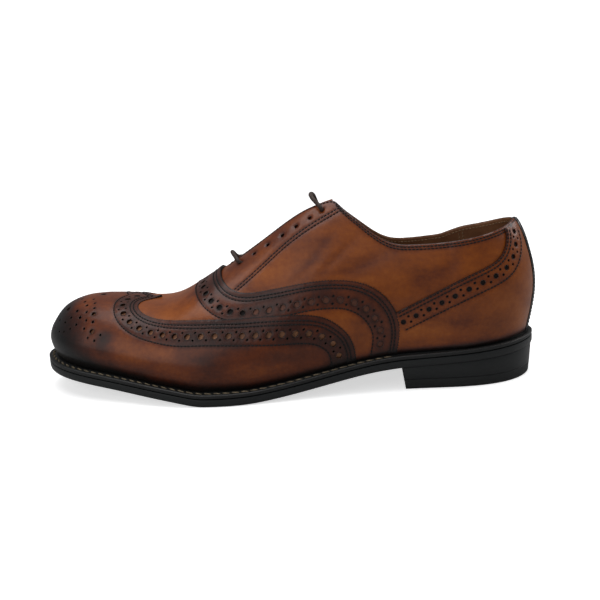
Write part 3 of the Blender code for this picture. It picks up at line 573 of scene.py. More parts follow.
class HeelPattern(Pattern):
    """Counters, strip and the whole upper: x run of the feather from the centre back, y girth up."""

    def flat(self, sign: np.ndarray, place: np.ndarray, up: np.ndarray) -> np.ndarray:
        """Flat points of places on the skin."""
        sign, place, up = np.broadcast_arrays(np.asarray(sign, float), place, up)
        run = np.where(sign < 0, self.last.run_at(Side.OUTER, place), self.last.run_at(Side.INNER, place))
        return np.column_stack([sign * run, up])

    def back(self, flat: np.ndarray) -> tuple[np.ndarray, np.ndarray, np.ndarray]:
        """Side signs, rib places and girth distances of flat points."""
        x = flat[:, 0]
        place = [self.last.place_at(side, np.abs(x)) for side in Side]
        return np.where(x > 0.0, 1.0, -1.0), np.where(x < 0.0, *place), flat[:, 1]


def resample(points: np.ndarray, step: float) -> np.ndarray:
    """Evenly spaced points along a line.

    Args:
        points: the line.
        step: wanted spacing, fitted to the line's length.

    Returns:
        The new points.
    """
    run = run_of(points)
    count = max(1, int(round(run[-1] / step)))
    return read_at(np.linspace(0.0, run[-1], count + 1), run, points)


@dataclass
class Seam:
    """A seam of one side as a dense line on a flat pattern, and lines that run beside it."""

    pattern: Pattern
    side: Side
    table: Table
    foot: float = 0.0
    slack: float = 0.15 * MM
    least_up: float = 0.8 * MM

    def __post_init__(self) -> None:
        """Draws the line through the table on the pattern."""
        last = self.pattern.last
        rows = np.array(self.table)
        place, up = rows[:, 0], rows[:, 1] * last.full(self.side, rows[:, 0])
        rough = self.pattern.flat(self.side.value, place, up)
        run = run_of(rough)
        smooth_rows = Spline(run, rows)(np.linspace(0.0, run[-1], 600))
        place = smooth_rows[:, 0]
        up = np.clip(smooth_rows[:, 1], 0.0, 1.0) * last.full(self.side, place)
        self.line = resample(self.pattern.flat(self.side.value, place, np.maximum(up, self.foot)), 0.4 * MM)

    def beside(self, distance: float, keep: float = 0.6 * MM) -> np.ndarray:
        """Line at a distance inside the panel that the seam bounds.

        Args:
            distance: offset in metres, towards the panel.
            keep: how far the line stays from the ridge.

        Returns:
            Flat points of the offset line, without the loops that tight bends give.
        """
        moved = self.line + distance * self.side.value * left_of(self.line)
        gap = np.linalg.norm(moved[:, None] - self.line[None, ::3], axis=2).min(axis=1)
        ok = gap > distance - self.slack
        sign, _, up = self.pattern.back(moved)
        ok &= (sign == self.side.value) & (up > self.least_up)
        if isinstance(self.pattern, FrontPattern):
            ok &= np.abs(moved[:, 1]) > keep
        return moved[ok]

    def gimped(self, pitch: float, depth: float) -> np.ndarray:
        """The seam cut with fine teeth, for a pinked edge."""
        points = resample(self.line, pitch / len(TOOTH))
        cut = depth * np.array(TOOTH)[np.arange(len(points)) % len(TOOTH)]
        return points + (cut * self.side.value)[:, None] * left_of(points)


@dataclass(frozen=True)
class Punch:
    """A round hole in a panel: flat centre and radius."""

    centre: tuple[float, float]
    radius: float

    @property
    def sides(self) -> int:
        """Corners of its outline."""
        return 16 if self.radius > LARGE_HOLE else 10

    def polygon(self, extra: float = 0.0, turn: float = 0.0) -> np.ndarray:
        """Its outline as a polygon, larger by an extra, turned by a share of a side."""
        angle = 2.0 * math.pi * (np.arange(self.sides) + turn) / self.sides
        return np.array(self.centre) + (self.radius + extra) * np.column_stack([np.cos(angle), np.sin(angle)])


def nearest(tree_points: np.ndarray, points: np.ndarray) -> np.ndarray:
    """Distance from each point to the nearest of a set, all flat."""
    if not len(tree_points):
        return np.full(len(points), 1.0)
    tree = KDTree(len(tree_points))
    for k, (x, y) in enumerate(tree_points):
        tree.insert((x, y, 0.0), k)
    tree.balance()
    return np.array([tree.find((x, y, 0.0))[2] for x, y in points])


@dataclass
class Panel:
    """A leather piece laid over the skin: a rim on a flat pattern, holes, grooves and a thickness."""

    name: str
    pattern: Pattern
    rim: np.ndarray
    low: float
    high: float
    step: float = 1.7 * MM
    punches: list[Punch] = field(default_factory=list)
    rows: list[np.ndarray] = field(default_factory=list)
    guards: list[np.ndarray] = field(default_factory=list)
    round_width: float = 0.55 * MM
    round_depth: float = 0.32 * MM
    round_low: float = 0.0
    groove: float = 0.24 * MM
    halo: float = 0.09
    dimple: float = 0.12 * MM
    hole_ring: float = 0.35 * MM
    groove_width: float = 0.55 * MM
    # Painted shade along the stitch grooves and in the crease troughs
    groove_shade: float = 0.22
    crease_shade: float = 360.0
    bands: list[tuple[np.ndarray, float, float]] = field(default_factory=list)
    curl: Callable[[np.ndarray], np.ndarray] | None = None
    finer: Callable[[np.ndarray], np.ndarray] | None = None
    joined: Callable[[np.ndarray], np.ndarray] | None = None
    sharp: float = 48.0

    def _inner_points(self) -> np.ndarray:
        """Points of a hexagonal net inside the rim's box, clear of rim, holes and guides."""
        low, high = self.rim.min(axis=0), self.rim.max(axis=0)
        row_step = self.step * NET_ROW
        xs = np.arange(low[0], high[0], self.step)
        ys = np.arange(low[1], high[1], row_step)
        net = np.array(np.meshgrid(xs, ys)).reshape(2, -1).T
        row = np.round((net[:, 1] - low[1]) / row_step).astype(int)
        net[:, 0] += 0.5 * self.step * (row % 2)
        if self.finer is not None:
            net = net[self.finer(net)]
        fixed = [resample(np.vstack([self.rim, self.rim[:1]]), 0.5 * MM), *self.guards]
        fixed += [punch.polygon() for punch in self.punches]
        fixed += [punch.polygon(self.hole_ring, 0.5) for punch in self.punches]
        net = net[nearest(np.vstack(fixed), net) > 0.55 * self.step]
        if self.punches:
            centres = np.array([punch.centre for punch in self.punches])
            radii = np.array([punch.radius for punch in self.punches])
            away = np.linalg.norm(net[:, None] - centres[None], axis=2) - radii[None]
            net = net[away.min(axis=1) > 0.0]
        return net

    def _cut(self) -> tuple[np.ndarray, np.ndarray]:
        """Flat vertices and triangles of the panel, its holes cut out."""
        nodes: list[np.ndarray] = [self.rim]
        count = len(self.rim)
        edges = [(k, (k + 1) % count) for k in range(count)]
        for punch in self.punches:
            polygon = punch.polygon()
            edges += [(count + k, count + (k + 1) % len(polygon)) for k in range(len(polygon))]
            nodes.append(polygon)
            count += len(polygon)
        nodes += [punch.polygon(self.hole_ring, 0.5) for punch in self.punches]
        nodes += self.guards
        nodes.append(self._inner_points())
        flat = np.vstack(nodes) / MM
        verts, _, faces, *_ = delaunay_2d_cdt([Vector(p) for p in flat], edges, [], 1, 0.004)
        flat = np.array([(v.x, v.y) for v in verts]) * MM
        tris = np.array([f for f in faces if len(f) == 3])
        middle = flat[tris].mean(axis=1)
        keep = np.ones(len(tris), bool)
        for punch in self.punches:
            away = middle - np.array(punch.centre)
            near = np.flatnonzero(np.abs(away).max(axis=1) < punch.radius)
            sector = 2.0 * math.pi / punch.sides
            angle = np.mod(np.arctan2(away[near, 1], away[near, 0]), sector) - sector / 2.0
            reach = np.linalg.norm(away[near], axis=1) * np.cos(angle)
            keep[near[reach < punch.radius * math.cos(sector / 2.0)]] = False
        return flat, tris[keep]

    def build(self, patina: "Patina", materials: Sequence[bpy.types.Material]) -> bpy.types.Object:
        """Cuts the panel and lays it over the skin as a closed shell.

        Args:
            patina: gives the burnish and painted shade of each point.
            materials: slot 0 for the outside and edges, slot 1, if given, for the underside.

        Returns:
            The finished mesh object at the origin.
        """
        flat, tris = self._cut()
        used, index = np.unique(tris, return_inverse=True)
        flat, tris = flat[used], index.reshape(-1, 3)
        edge, holed = self._near_edges(flat)
        rows = nearest(np.vstack([resample(row, 0.3 * MM) for row in self.rows]), flat) if self.rows else None
        fall = (1.0 - np.clip(edge / self.round_width, 0.0, 1.0)) ** 2
        lift, floor = self.high - self.round_depth * fall, self.low + self.round_low * fall
        if rows is not None:
            lift = lift - self.groove * np.exp(-(rows / self.groove_width) ** 2)
        if self.curl is not None:
            lift = lift + self.curl(flat)
        sign, place, up = self.pattern.back(flat)
        points, normals = self.pattern.last.at(sign, place, up)
        drop = patina.drop(points)
        lift, floor = lift - drop - self.dimple * holed, floor - drop
        verts = np.vstack([points + normals * lift[:, None], points + normals * floor[:, None]])
        mesh = bpy.data.meshes.new(self.name)
        mesh.from_pydata(verts.tolist(), [], self._faces(flat, tris))
        burn = patina.burn(self.name, sign, place, up, points) + self.halo * holed
        # Painted shade along the stitch grooves.
        if rows is not None:
            burn = burn + self.groove_shade * np.exp(-(rows / (0.75 * MM)) ** 2)
        # Painted shade in the crease troughs, deeper where the skin sinks more.
        burn = burn + self.crease_shade * drop
        for line, width, amount in self.bands:
            burn = burn + amount * (1.0 - smooth(width - 2.0 * MM, width + 1.2 * MM, nearest(line, flat)))
        add_values(mesh, burn=np.tile(np.clip(burn, 0.0, 1.0), 2), edge_mm=np.tile(edge / MM, 2))
        for finish in materials:
            mesh.materials.append(finish)
        if len(materials) > 1:
            slots = np.zeros(len(mesh.polygons), np.int32)
            slots[len(tris):2 * len(tris)] = 1
            mesh.polygons.foreach_set("material_index", slots)
        if self.joined is not None:
            weld(mesh)
        return add_object(self.name, mesh, self.sharp)

    def _near_edges(self, flat: np.ndarray) -> tuple[np.ndarray, np.ndarray]:
        """Distance of points to the rim or the nearest hole, and how near they are to a large hole."""
        edge = nearest(resample(np.vstack([self.rim, self.rim[:1]]), 0.3 * MM), flat)
        holed = np.zeros(len(flat))
        for punch in self.punches:
            away = np.maximum(np.linalg.norm(flat - np.array(punch.centre), axis=1) - punch.radius, 0.0)
            edge = np.minimum(edge, away + 0.3 * MM)
            if punch.radius > LARGE_HOLE:
                holed = np.maximum(holed, np.exp(-(away / (0.9 * punch.radius)) ** 2))
        return edge, holed

    def _faces(self, flat: np.ndarray, tris: np.ndarray) -> list[list[int]]:
        """Faces of the shell: outside, underside, and walls where the panel isn't joined to itself."""
        count = len(flat)
        ring = np.concatenate([tris[:, (0, 1)], tris[:, (1, 2)], tris[:, (2, 0)]])
        lone = ring[~np.isin(ring[:, 0] * count + ring[:, 1], ring[:, 1] * count + ring[:, 0])]
        if self.joined is not None:
            shut = self.joined(flat)
            lone = lone[~(shut[lone[:, 0]] & shut[lone[:, 1]])]
        walls = np.column_stack([lone[:, 1], lone[:, 0], lone[:, 0] + count, lone[:, 1] + count])
        return tris.tolist() + (tris[:, ::-1] + count).tolist() + walls.tolist()


def add_values(mesh: bpy.types.Mesh, **values: np.ndarray) -> None:
    """Writes a value for each point of a mesh under each name."""
    for title, numbers in values.items():
        mesh.attributes.new(title, "FLOAT", "POINT").data.foreach_set("value", numbers.astype(np.float32))


def weld(mesh: bpy.types.Mesh, distance: float = 0.002 * MM) -> None:
    """Merges a mesh's coinciding points."""
    tool = bmesh.new()
    tool.from_mesh(mesh)
    bmesh.ops.remove_doubles(tool, verts=tool.verts, dist=distance)
    bmesh.ops.dissolve_degenerate(tool, edges=tool.edges, dist=distance)
    tool.to_mesh(mesh)
    tool.free()


def add_object(name: str, mesh: bpy.types.Mesh, sharp: float | None = None) -> bpy.types.Object:
    """Links a mesh into the scene as an object at the origin, smooth up to a sharp angle in degrees."""
    if sharp is not None:
        mesh.shade_smooth()
        mesh.set_sharp_from_angle(angle=math.radians(sharp))
    made = bpy.data.objects.new(name, mesh)
    bpy.context.scene.collection.objects.link(made)
    return made


def bridge(tool: bmesh.types.BMesh, rows: Sequence[np.ndarray]) -> list[list[bmesh.types.BMVert]]:
    """Makes points for each closed row and faces between the rows; gives the rows of points."""
    made = [[tool.verts.new(Vector(point)) for point in row] for row in rows]
    count = len(made[0])
    for low, high in zip(made[:-1], made[1:]):
        for k in range(count):
            nxt = (k + 1) % count
            tool.faces.new((low[k], low[nxt], high[nxt], high[k]))
    return made


def closed_object(name: str, tool: bmesh.types.BMesh, finish: bpy.types.Material,
                  sharp: float) -> bpy.types.Object:
    """Object from a bmesh: coinciding points merged, faces turned outwards, one finish."""
    bmesh.ops.remove_doubles(tool, verts=tool.verts, dist=0.001 * MM)
    bmesh.ops.recalc_face_normals(tool, faces=tool.faces)
    mesh = bpy.data.meshes.new(name)
    tool.to_mesh(mesh)
    tool.free()
    mesh.materials.append(finish)
    return add_object(name, mesh, sharp)


def grid_object(name: str, rows: np.ndarray, finish: bpy.types.Material, caps: bool = False,
                sharp: float = 38.0) -> bpy.types.Object:
    """Mesh through rows of points that are closed rings.

    Args:
        name: object name.
        rows: array of rows by columns by 3; columns run round.
        finish: its material.
        caps: whether the first and last rings are filled.
        sharp: edges above this angle in degrees stay sharp.

    Returns:
        The finished object with outward normals.
    """
    tool = bmesh.new()
    made = bridge(tool, rows)
    if caps:
        tool.faces.new(made[0])
        tool.faces.new(made[-1])
    return closed_object(name, tool, finish, sharp)


def linear(colour: Sequence[int]) -> tuple[float, float, float, float]:
    """Linear colour from 0-255 display values."""
    made = [(c / 255.0 / 12.92) if c <= 10 else ((c / 255.0 + 0.055) / 1.055) ** 2.4 for c in colour]
    return (*made, 1.0)


@dataclass(frozen=True)
class Crease:
    """A soft trough across the leather: two places on the outer side with girth in mm, depth and width."""

    start: tuple[float, float]
    end: tuple[float, float]
    depth: float = 0.25 * MM
    width: float = 3.0 * MM


CREASES = (
    Crease((1.600, 60.0), (1.690, 79.0), 0.30 * MM, 2.6 * MM),
    Crease((1.655, 57.0), (1.765, 74.0), 0.26 * MM, 2.4 * MM),
    Crease((1.560, 58.0), (1.640, 66.0), 0.22 * MM, 2.2 * MM),
    Crease((1.700, 52.0), (1.840, 60.0), 0.30 * MM, 4.0 * MM),
    Crease((1.900, 42.0), (2.150, 55.0), 0.24 * MM, 4.5 * MM),
    Crease((1.300, 68.0), (1.250, 47.0), 0.26 * MM, 3.6 * MM),
    Crease((1.350, 42.0), (1.470, 37.0), 0.22 * MM, 3.0 * MM),
    Crease((1.240, 22.0), (1.420, 15.0), 0.30 * MM, 4.2 * MM),
    Crease((1.420, 24.0), (1.560, 14.0), 0.26 * MM, 3.6 * MM),
    Crease((1.990, 10.0), (2.300, 22.0), 0.24 * MM, 5.0 * MM),
)


@dataclass
class Patina:
    """Where the leather is burnished or painted with shade (0 is the palest tan, 1 is near black) and how it
    has creased.
    """

    last: Last
    creases: Sequence[Crease] = CREASES

    def burn(self, name: str, sign: np.ndarray, place: np.ndarray, up: np.ndarray,
             points: np.ndarray) -> np.ndarray:
        """Burnish of points of a piece, with painted shade and a painted reflection of the welt along the
        feather.

        Args:
            name: the piece's name.
            sign: side signs.
            place: rib places.
            up: girth distances from the feather.
            points: world points.

        Returns:
            A share from 0 to 1 for each point.
        """
        x = (points[:, 0] - self.last.shift[0]) / MM
        rise = up / MM
        full = self.last.girth_by(sign, place) / MM
        toe = 1.0 - smooth(13.0, 43.0, x + 0.42 * (rise - 20.0))
        front = 1.0 - smooth(60.0, 190.0, x)
        # Darker towards the feather: partly burnish, partly painted shade and a painted reflection of the
        # black welt on the upper's lower edge.
        feather = (0.42 + 0.25 * front) * np.exp(-(rise / (3.0 + 2.6 * front)) ** 2)
        # Painted shadow in the gap between upper and welt, with a faint broad burnish above it.
        welt_gap_shade_and_burnish = 0.04 * np.exp(-(rise / 13.0) ** 2) + 0.3 * np.exp(-(rise / 2.2) ** 2)
        base = {"cap_leather": 0.41, "vamp_leather": 0.26, "upper_shell": 0.29}.get(name, 0.25)
        amount = base + 0.60 * toe + feather + welt_gap_shade_and_burnish
        if name == "cap_leather":
            smudge = np.hypot(x - 47.0, full - rise - 41.6)
            amount = amount + 0.38 * np.exp(-(smudge / 5.0) ** 2)
        if name == "upper_shell":
            amount = amount + 0.07 * (1.0 - smooth(8.0, 34.0, full - rise)) * (place < 1.8)
        return np.clip(amount, 0.0, 1.0)

    def drop(self, points: np.ndarray) -> np.ndarray:
        """How far the skin sinks in its creases at world points."""
        deep = np.zeros(len(points))
        for crease in self.creases:
            (place_a, up_a), (place_b, up_b) = crease.start, crease.end
            way = np.linspace(0.0, 1.0, 14)
            line, _ = self.last.at(np.full(len(way), -1.0), place_a + way * (place_b - place_a),
                                   (up_a + way * (up_b - up_a)) * MM)
            fade = np.sin(math.pi * (0.12 + 0.76 * way))
            away = np.linalg.norm(points[:, None] - line[None], axis=2)
            near = away.argmin(axis=1)
            deep += crease.depth * fade[near] * np.exp(-(away.min(axis=1) / crease.width) ** 2)
        return deep


class NodeBench:
    """Small helper that wires nodes of one tree."""

    def __init__(self, tree: bpy.types.NodeTree) -> None:
        """Keeps the tree."""
        self.tree = tree

    def add(self, kind: str, **settings: object) -> bpy.types.Node:
        """Adds a node and sets its properties."""
        node = self.tree.nodes.new(kind)
        for key, value in settings.items():
            setattr(node, key, value)
        return node

    def join(self, source: bpy.types.NodeSocket, target: bpy.types.NodeSocket) -> None:
        """Links two sockets."""
        self.tree.links.new(source, target)

    def put(self, value: object, socket: bpy.types.NodeSocket) -> None:
        """Links a socket to another, or sets it to a plain value."""
        if isinstance(value, bpy.types.NodeSocket):
            self.join(value, socket)
        else:
            socket.default_value = value

    def feed(self, node: bpy.types.Node, **values: object) -> bpy.types.Node:
        """Fills a node's inputs by name, underscores standing for spaces."""
        for key, value in values.items():
            self.put(value, node.inputs[key.replace("_", " ")])
        return node

    def math(self, operation: str, a: object, b: object = 0.5) -> bpy.types.NodeSocket:
        """A math node's output."""
        node = self.add("ShaderNodeMath", operation=operation)
        for socket, value in zip(node.inputs, (a, b)):
            self.put(value, socket)
        return node.outputs[0]

    def place(self) -> bpy.types.NodeSocket:
        """The object's own coordinates."""
        return self.add("ShaderNodeTexCoord").outputs["Object"]

    def noise(self, **values: object) -> bpy.types.NodeSocket:
        """A noise texture's value."""
        return self.feed(self.add("ShaderNodeTexNoise"), **values).outputs[0]

    def bump(self, shader: bpy.types.Node, height: bpy.types.NodeSocket, strength: float,
             depth: float) -> None:
        """Gives a shader a bump of some height."""
        node = self.feed(self.add("ShaderNodeBump"), Height=height, Strength=strength, Distance=depth)
        self.join(node.outputs[0], shader.inputs["Normal"])


def shader_group(name: str, inputs: Sequence[tuple[str, str, float]],
                 outputs: Sequence[tuple[str, str]]) -> tuple[bpy.types.NodeTree, NodeBench, dict, dict]:
    """An empty shader group with named sockets.

    Args:
        name: group name.
        inputs: socket name, type and default.
        outputs: socket name and type.

    Returns:
        The tree, its bench, the input sockets by name and the output sockets by name.
    """
    tree = bpy.data.node_groups.new(name, "ShaderNodeTree")
    for title, kind, default in inputs:
        made = tree.interface.new_socket(name=title, in_out="INPUT", socket_type=kind)
        if kind == "NodeSocketFloat":
            made.default_value = default
    for title, kind in outputs:
        tree.interface.new_socket(name=title, in_out="OUTPUT", socket_type=kind)
    bench = NodeBench(tree)
    source, sink = bench.add("NodeGroupInput"), bench.add("NodeGroupOutput")
    return tree, bench, dict(source.outputs.items()), dict(sink.inputs.items())


class Effects:
    """Shader groups that several finishes share, built once."""

    def __init__(self) -> None:
        """Builds the groups."""
        self.grain = self._grain()
        self.mottle = self._mottle()

    def _grain(self) -> bpy.types.NodeTree:
        """Leather grain: fine cells and soft waves as a height."""
        tree, bench, given, out = shader_group(
            "leather_grain", [("Cells", "NodeSocketFloat", 900.0), ("Waves", "NodeSocketFloat", 60.0)],
            [("Height", "NodeSocketFloat")])
        place = bench.place()
        cells = bench.feed(bench.add("ShaderNodeTexVoronoi", feature="DISTANCE_TO_EDGE"), Vector=place,
                           Scale=given["Cells"])
        fine = bench.noise(Vector=place, Scale=given["Cells"], Detail=2.0)
        waves = bench.noise(Vector=place, Scale=given["Waves"], Detail=3.0)
        cell = bench.math("MULTIPLY", bench.math("MINIMUM", cells.outputs[0], 0.25), 1.6)
        grit = bench.math("MULTIPLY", fine, 0.35)
        wave = bench.math("MULTIPLY", waves, 1.5)
        bench.join(bench.math("ADD", bench.math("ADD", cell, grit), wave), out["Height"])
        return tree

    def _mottle(self) -> bpy.types.NodeTree:
        """Uneven dye: broad clouds, brushed streaks and fine specks as one centred value."""
        tree, bench, given, out = shader_group(
            "dye_mottle", [("Clouds", "NodeSocketFloat", 38.0), ("Specks", "NodeSocketFloat", 420.0)],
            [("Tone", "NodeSocketFloat")])
        place = bench.place()
        clouds = bench.noise(Vector=place, Scale=given["Clouds"], Detail=4.0, Roughness=0.55)
        turned = bench.add("ShaderNodeMapping")
        turned.inputs["Rotation"].default_value = (0.0, math.radians(42.0), 0.0)
        turned.inputs["Scale"].default_value = (1.0, 1.6, 3.6)
        bench.join(place, turned.inputs["Vector"])
        streaks = bench.noise(Vector=turned.outputs[0], Scale=given["Clouds"], Detail=3.0, Roughness=0.5)
        specks = bench.noise(Vector=place, Scale=given["Specks"], Detail=2.0)
        broad = bench.math("SUBTRACT", clouds, 0.5)
        brushed = bench.math("MULTIPLY", bench.math("SUBTRACT", streaks, 0.5), 0.6)
        fine = bench.math("MULTIPLY", bench.math("SUBTRACT", specks, 0.5), 0.3)
        bench.join(bench.math("ADD", bench.math("ADD", broad, brushed), fine), out["Tone"])
        return tree


def new_material(name: str) -> tuple[bpy.types.Material, NodeBench, bpy.types.Node]:
    """An empty node material with its Principled shader."""
    made = bpy.data.materials.new(name)
    made.use_nodes = True
    return made, NodeBench(made.node_tree), made.node_tree.nodes["Principled BSDF"]


def ramp(bench: NodeBench, factor: bpy.types.NodeSocket,
         stops: Sequence[tuple[float, Sequence[int]]]) -> bpy.types.NodeSocket:
    """Colour ramp over display colours."""
    node = bench.add("ShaderNodeValToRGB")
    bench.join(factor, node.inputs[0])
    band = node.color_ramp
    while len(band.elements) < len(stops):
        band.elements.new(0.5)
    for element, (at, colour) in zip(band.elements, stops):
        element.position = at
        element.color = linear(colour)
    return node.outputs[0]


GRAIN_DEPTH = 0.6 * MM
# Calf from the palest tan to near black: burnish, with painted shade, and display colour
CALF_TONES = ((0.0, (180, 100, 30)), (0.25, (140, 69, 13)), (0.42, (104, 45, 10)), (0.60, (66, 25, 9)),
              (0.80, (34, 13, 8)), (1.0, (12, 10, 10)))


@dataclass(frozen=True)
class CalfFinish:
    """Hand-burnished, polished calf: tan that runs to black with the burnish attribute, which also carries
    painted shade.
    """

    name: str
    roughness: float = 0.40
    coat: float = 0.28
    mottle: float = 0.50
    grain: float = 0.10
    edge_dark: float = 0.42
    edge_reach: float = 0.7
    uneven: float = 0.16
    coat_roughness: float = 0.20
    specular: float = 0.30

    def build(self, effects: Effects) -> bpy.types.Material:
        """Builds the material."""
        made, bench, shader = new_material(self.name)
        burn = bench.add("ShaderNodeAttribute", attribute_name="burn").outputs["Fac"]
        edge = bench.add("ShaderNodeAttribute", attribute_name="edge_mm").outputs["Fac"]
        mottle = bench.add("ShaderNodeGroup", node_tree=effects.mottle)
        tone = bench.math("ADD", burn, bench.math("MULTIPLY", mottle.outputs["Tone"], self.mottle))
        away = bench.math("MINIMUM", bench.math("DIVIDE", edge, self.edge_reach), 1.0)
        near = bench.math("SUBTRACT", 1.0, away)
        tone = bench.math("ADD", tone, bench.math("MULTIPLY", near, self.edge_dark))
        bench.join(ramp(bench, tone, CALF_TONES), shader.inputs["Base Color"])
        grain = bench.add("ShaderNodeGroup", node_tree=effects.grain)
        rough = bench.math("ADD", self.roughness, bench.math("MULTIPLY", mottle.outputs["Tone"], self.uneven))
        bench.join(rough, shader.inputs["Roughness"])
        bench.bump(shader, grain.outputs["Height"], self.grain, GRAIN_DEPTH)
        shader.inputs["Coat Weight"].default_value = self.coat
        shader.inputs["Coat Roughness"].default_value = self.coat_roughness
        shader.inputs["Specular IOR Level"].default_value = self.specular
        return made


@dataclass(frozen=True)
class PlainFinish:
    """A dyed or moulded surface of one hue with clouds, grain and a chosen gloss."""

    name: str
    dark: tuple[int, int, int]
    light: tuple[int, int, int]
    roughness: float
    grain: float = 0.1
    coat: float = 0.0
    cells: float = 900.0

    def build(self, effects: Effects) -> bpy.types.Material:
        """Builds the material."""
        made, bench, shader = new_material(self.name)
        mottle = bench.add("ShaderNodeGroup", node_tree=effects.mottle)
        tone = bench.math("ADD", mottle.outputs["Tone"], 0.5)
        bench.join(ramp(bench, tone, ((0.2, self.dark), (0.8, self.light))), shader.inputs["Base Color"])
        rough = bench.math("ADD", self.roughness, bench.math("MULTIPLY", mottle.outputs["Tone"], 0.2))
        bench.join(rough, shader.inputs["Roughness"])
        grain = bench.feed(bench.add("ShaderNodeGroup", node_tree=effects.grain), Cells=self.cells)
        bench.bump(shader, grain.outputs["Height"], self.grain, GRAIN_DEPTH)
        shader.inputs["Coat Weight"].default_value = self.coat
        return made


@dataclass(frozen=True)
class ThreadFinish:
    """Waxed thread of two close hues, rough with fibres."""

    name: str
    dark: tuple[int, int, int]
    light: tuple[int, int, int]
    fibres: float = 900.0
    roughness: float = 0.65

    def build(self) -> bpy.types.Material:
        """Builds the material."""
        made, bench, shader = new_material(self.name)
        noise = bench.noise(Vector=bench.place(), Scale=self.fibres, Detail=2.0)
        bench.join(ramp(bench, noise, ((0.3, self.dark), (0.7, self.light))), shader.inputs["Base Color"])
        bench.bump(shader, noise, 0.4, 0.3 * MM)
        shader.inputs["Roughness"].default_value = self.roughness
        return made


@dataclass(frozen=True)
class LaceFinish:
    """Waxed round cotton lace with a plaited surface, read from its UV map."""

    name: str = "lace_cotton"
    dark: tuple[int, int, int] = (24, 16, 14)
    light: tuple[int, int, int] = (66, 48, 40)

    def build(self) -> bpy.types.Material:
        """Builds the material."""
        made, bench, shader = new_material(self.name)
        split = bench.add("ShaderNodeSeparateXYZ")
        bench.join(bench.add("ShaderNodeUVMap", uv_map="UVMap").outputs[0], split.inputs[0])
        bands = []
        for turn in (1.0, -1.0):
            slant = bench.math("ADD", bench.math("MULTIPLY", split.outputs[0], 8.0 * turn), split.outputs[1])
            bands.append(bench.math("ABSOLUTE", bench.math("SINE", bench.math("MULTIPLY", slant, math.pi))))
        plait = bench.math("MAXIMUM", bands[0], bands[1])
        bench.join(ramp(bench, plait, ((0.35, self.dark), (0.95, self.light))), shader.inputs["Base Color"])
        bench.bump(shader, plait, 0.6, 0.2 * MM)
        shader.inputs["Roughness"].default_value = 0.6
        return made


class Finishes:
    """Every material of the shoe."""

    def __init__(self) -> None:
        """Builds them."""
        effects = Effects()
        self.calf = CalfFinish("calf_tan").build(effects)
        self.cap = CalfFinish("calf_burnished", roughness=0.40, coat=0.20).build(effects)
        self.lining = PlainFinish("lining_leather", (104, 66, 42), (150, 104, 70), 0.55).build(effects)
        self.black = PlainFinish("strip_leather", (9, 9, 9), (17, 16, 16), 0.3, coat=0.3).build(effects)
        self.welt = PlainFinish("welt_leather", (9, 10, 10), (20, 22, 22), 0.45, 0.2).build(effects)
        self.sole = PlainFinish("sole_edge", (7, 11, 12), (14, 19, 20), 0.42, 0.12, 0.06).build(effects)
        self.rubber = PlainFinish("heel_rubber", (12, 15, 15), (22, 25, 25), 0.55, 0.3).build(effects)
        self.insole = PlainFinish("insole_leather", (112, 76, 50), (150, 108, 76), 0.6).build(effects)
        self.thread = ThreadFinish("thread_dark", (5, 4, 4), (19, 12, 10), roughness=0.8).build()
        self.pale_thread = ThreadFinish("thread_pale", (120, 92, 66), (176, 144, 110)).build()
        self.welt_thread = ThreadFinish("thread_natural", (84, 74, 58), (148, 132, 106)).build()
        self.pressed = PlainFinish("pressed_rim", (44, 22, 15), (80, 44, 27), 0.34, coat=0.3).build(effects)
        self.plug = PlainFinish("hole_floor_pale", (132, 84, 56), (180, 124, 86), 0.55).build(effects)
        self.plug_brown = PlainFinish("hole_floor_brown", (80, 40, 25), (112, 62, 38), 0.5).build(effects)
        # Near-black hole floor: painted shade inside small and deep holes, where tan leather lies below.
        self.hole_shade_floor = PlainFinish("hole_floor_painted_shade", (10, 7, 6), (24, 16, 13), 0.8).build(effects)
        self.lace = LaceFinish().build()


@dataclass
class Scatter:
    """Copies of one small shape set along rows by Geometry Nodes, then made a plain mesh."""

    name: str
    finish: bpy.types.Material
    points: list[np.ndarray] = field(default_factory=list)
    along: list[np.ndarray] = field(default_factory=list)
    out: list[np.ndarray] = field(default_factory=list)
    sizes: list[np.ndarray] = field(default_factory=list)

    def add(self, points: np.ndarray, along: np.ndarray, out: np.ndarray, size: float | np.ndarray) -> None:
        """Adds places with their directions along the row and out of the surface, and their sizes."""
        self.points.append(points)
        self.along.append(along)
        self.out.append(out)
        self.sizes.append(np.broadcast_to(np.asarray(size, float), len(points)))

    def realize(self, tree: bpy.types.NodeTree, **values: object) -> bpy.types.Object:
        """Runs the tree over the places.

        Args:
            tree: a Geometry Nodes tree that takes points with along, out and size attributes.
            values: inputs of the tree by name.

        Returns:
            The plain mesh object.
        """
        places = np.vstack(self.points)
        mesh = bpy.data.meshes.new(self.name + "_places")
        mesh.from_pydata(places.tolist(), [], [])
        for title, rows in (("along", self.along), ("out", self.out)):
            made = mesh.attributes.new(title, "FLOAT_VECTOR", "POINT")
            made.data.foreach_set("vector", np.vstack(rows).astype(np.float32).ravel())
        add_values(mesh, size=np.concatenate(self.sizes))
        seed = add_object(self.name + "_seed", mesh)
        modifier = seed.modifiers.new("scatter", "NODES")
        modifier.node_group = tree
        settings = {"Material": self.finish, **values}
        for item in tree.interface.items_tree:
            if item.item_type == "SOCKET" and item.in_out == "INPUT" and item.name in settings:
                modifier[item.identifier] = settings[item.name]
        graph = bpy.context.evaluated_depsgraph_get()
        flat = bpy.data.meshes.new_from_object(seed.evaluated_get(graph))
        flat.name = self.name
        seed.modifiers.remove(modifier)
        bpy.data.objects.remove(seed, do_unlink=True)
        if not flat.materials:
            flat.materials.append(self.finish)
        return add_object(self.name, flat)


# Sides of a hole's rim and floor, seen from above, and of the rim's own section
HOLE_SIDES, LIP_SIDES = 14, 4


class Shape(Enum):
    """What a scatter tree sets at each place."""

    STITCH = "stitch"
    RIM = "rim"
    FLOOR = "floor"


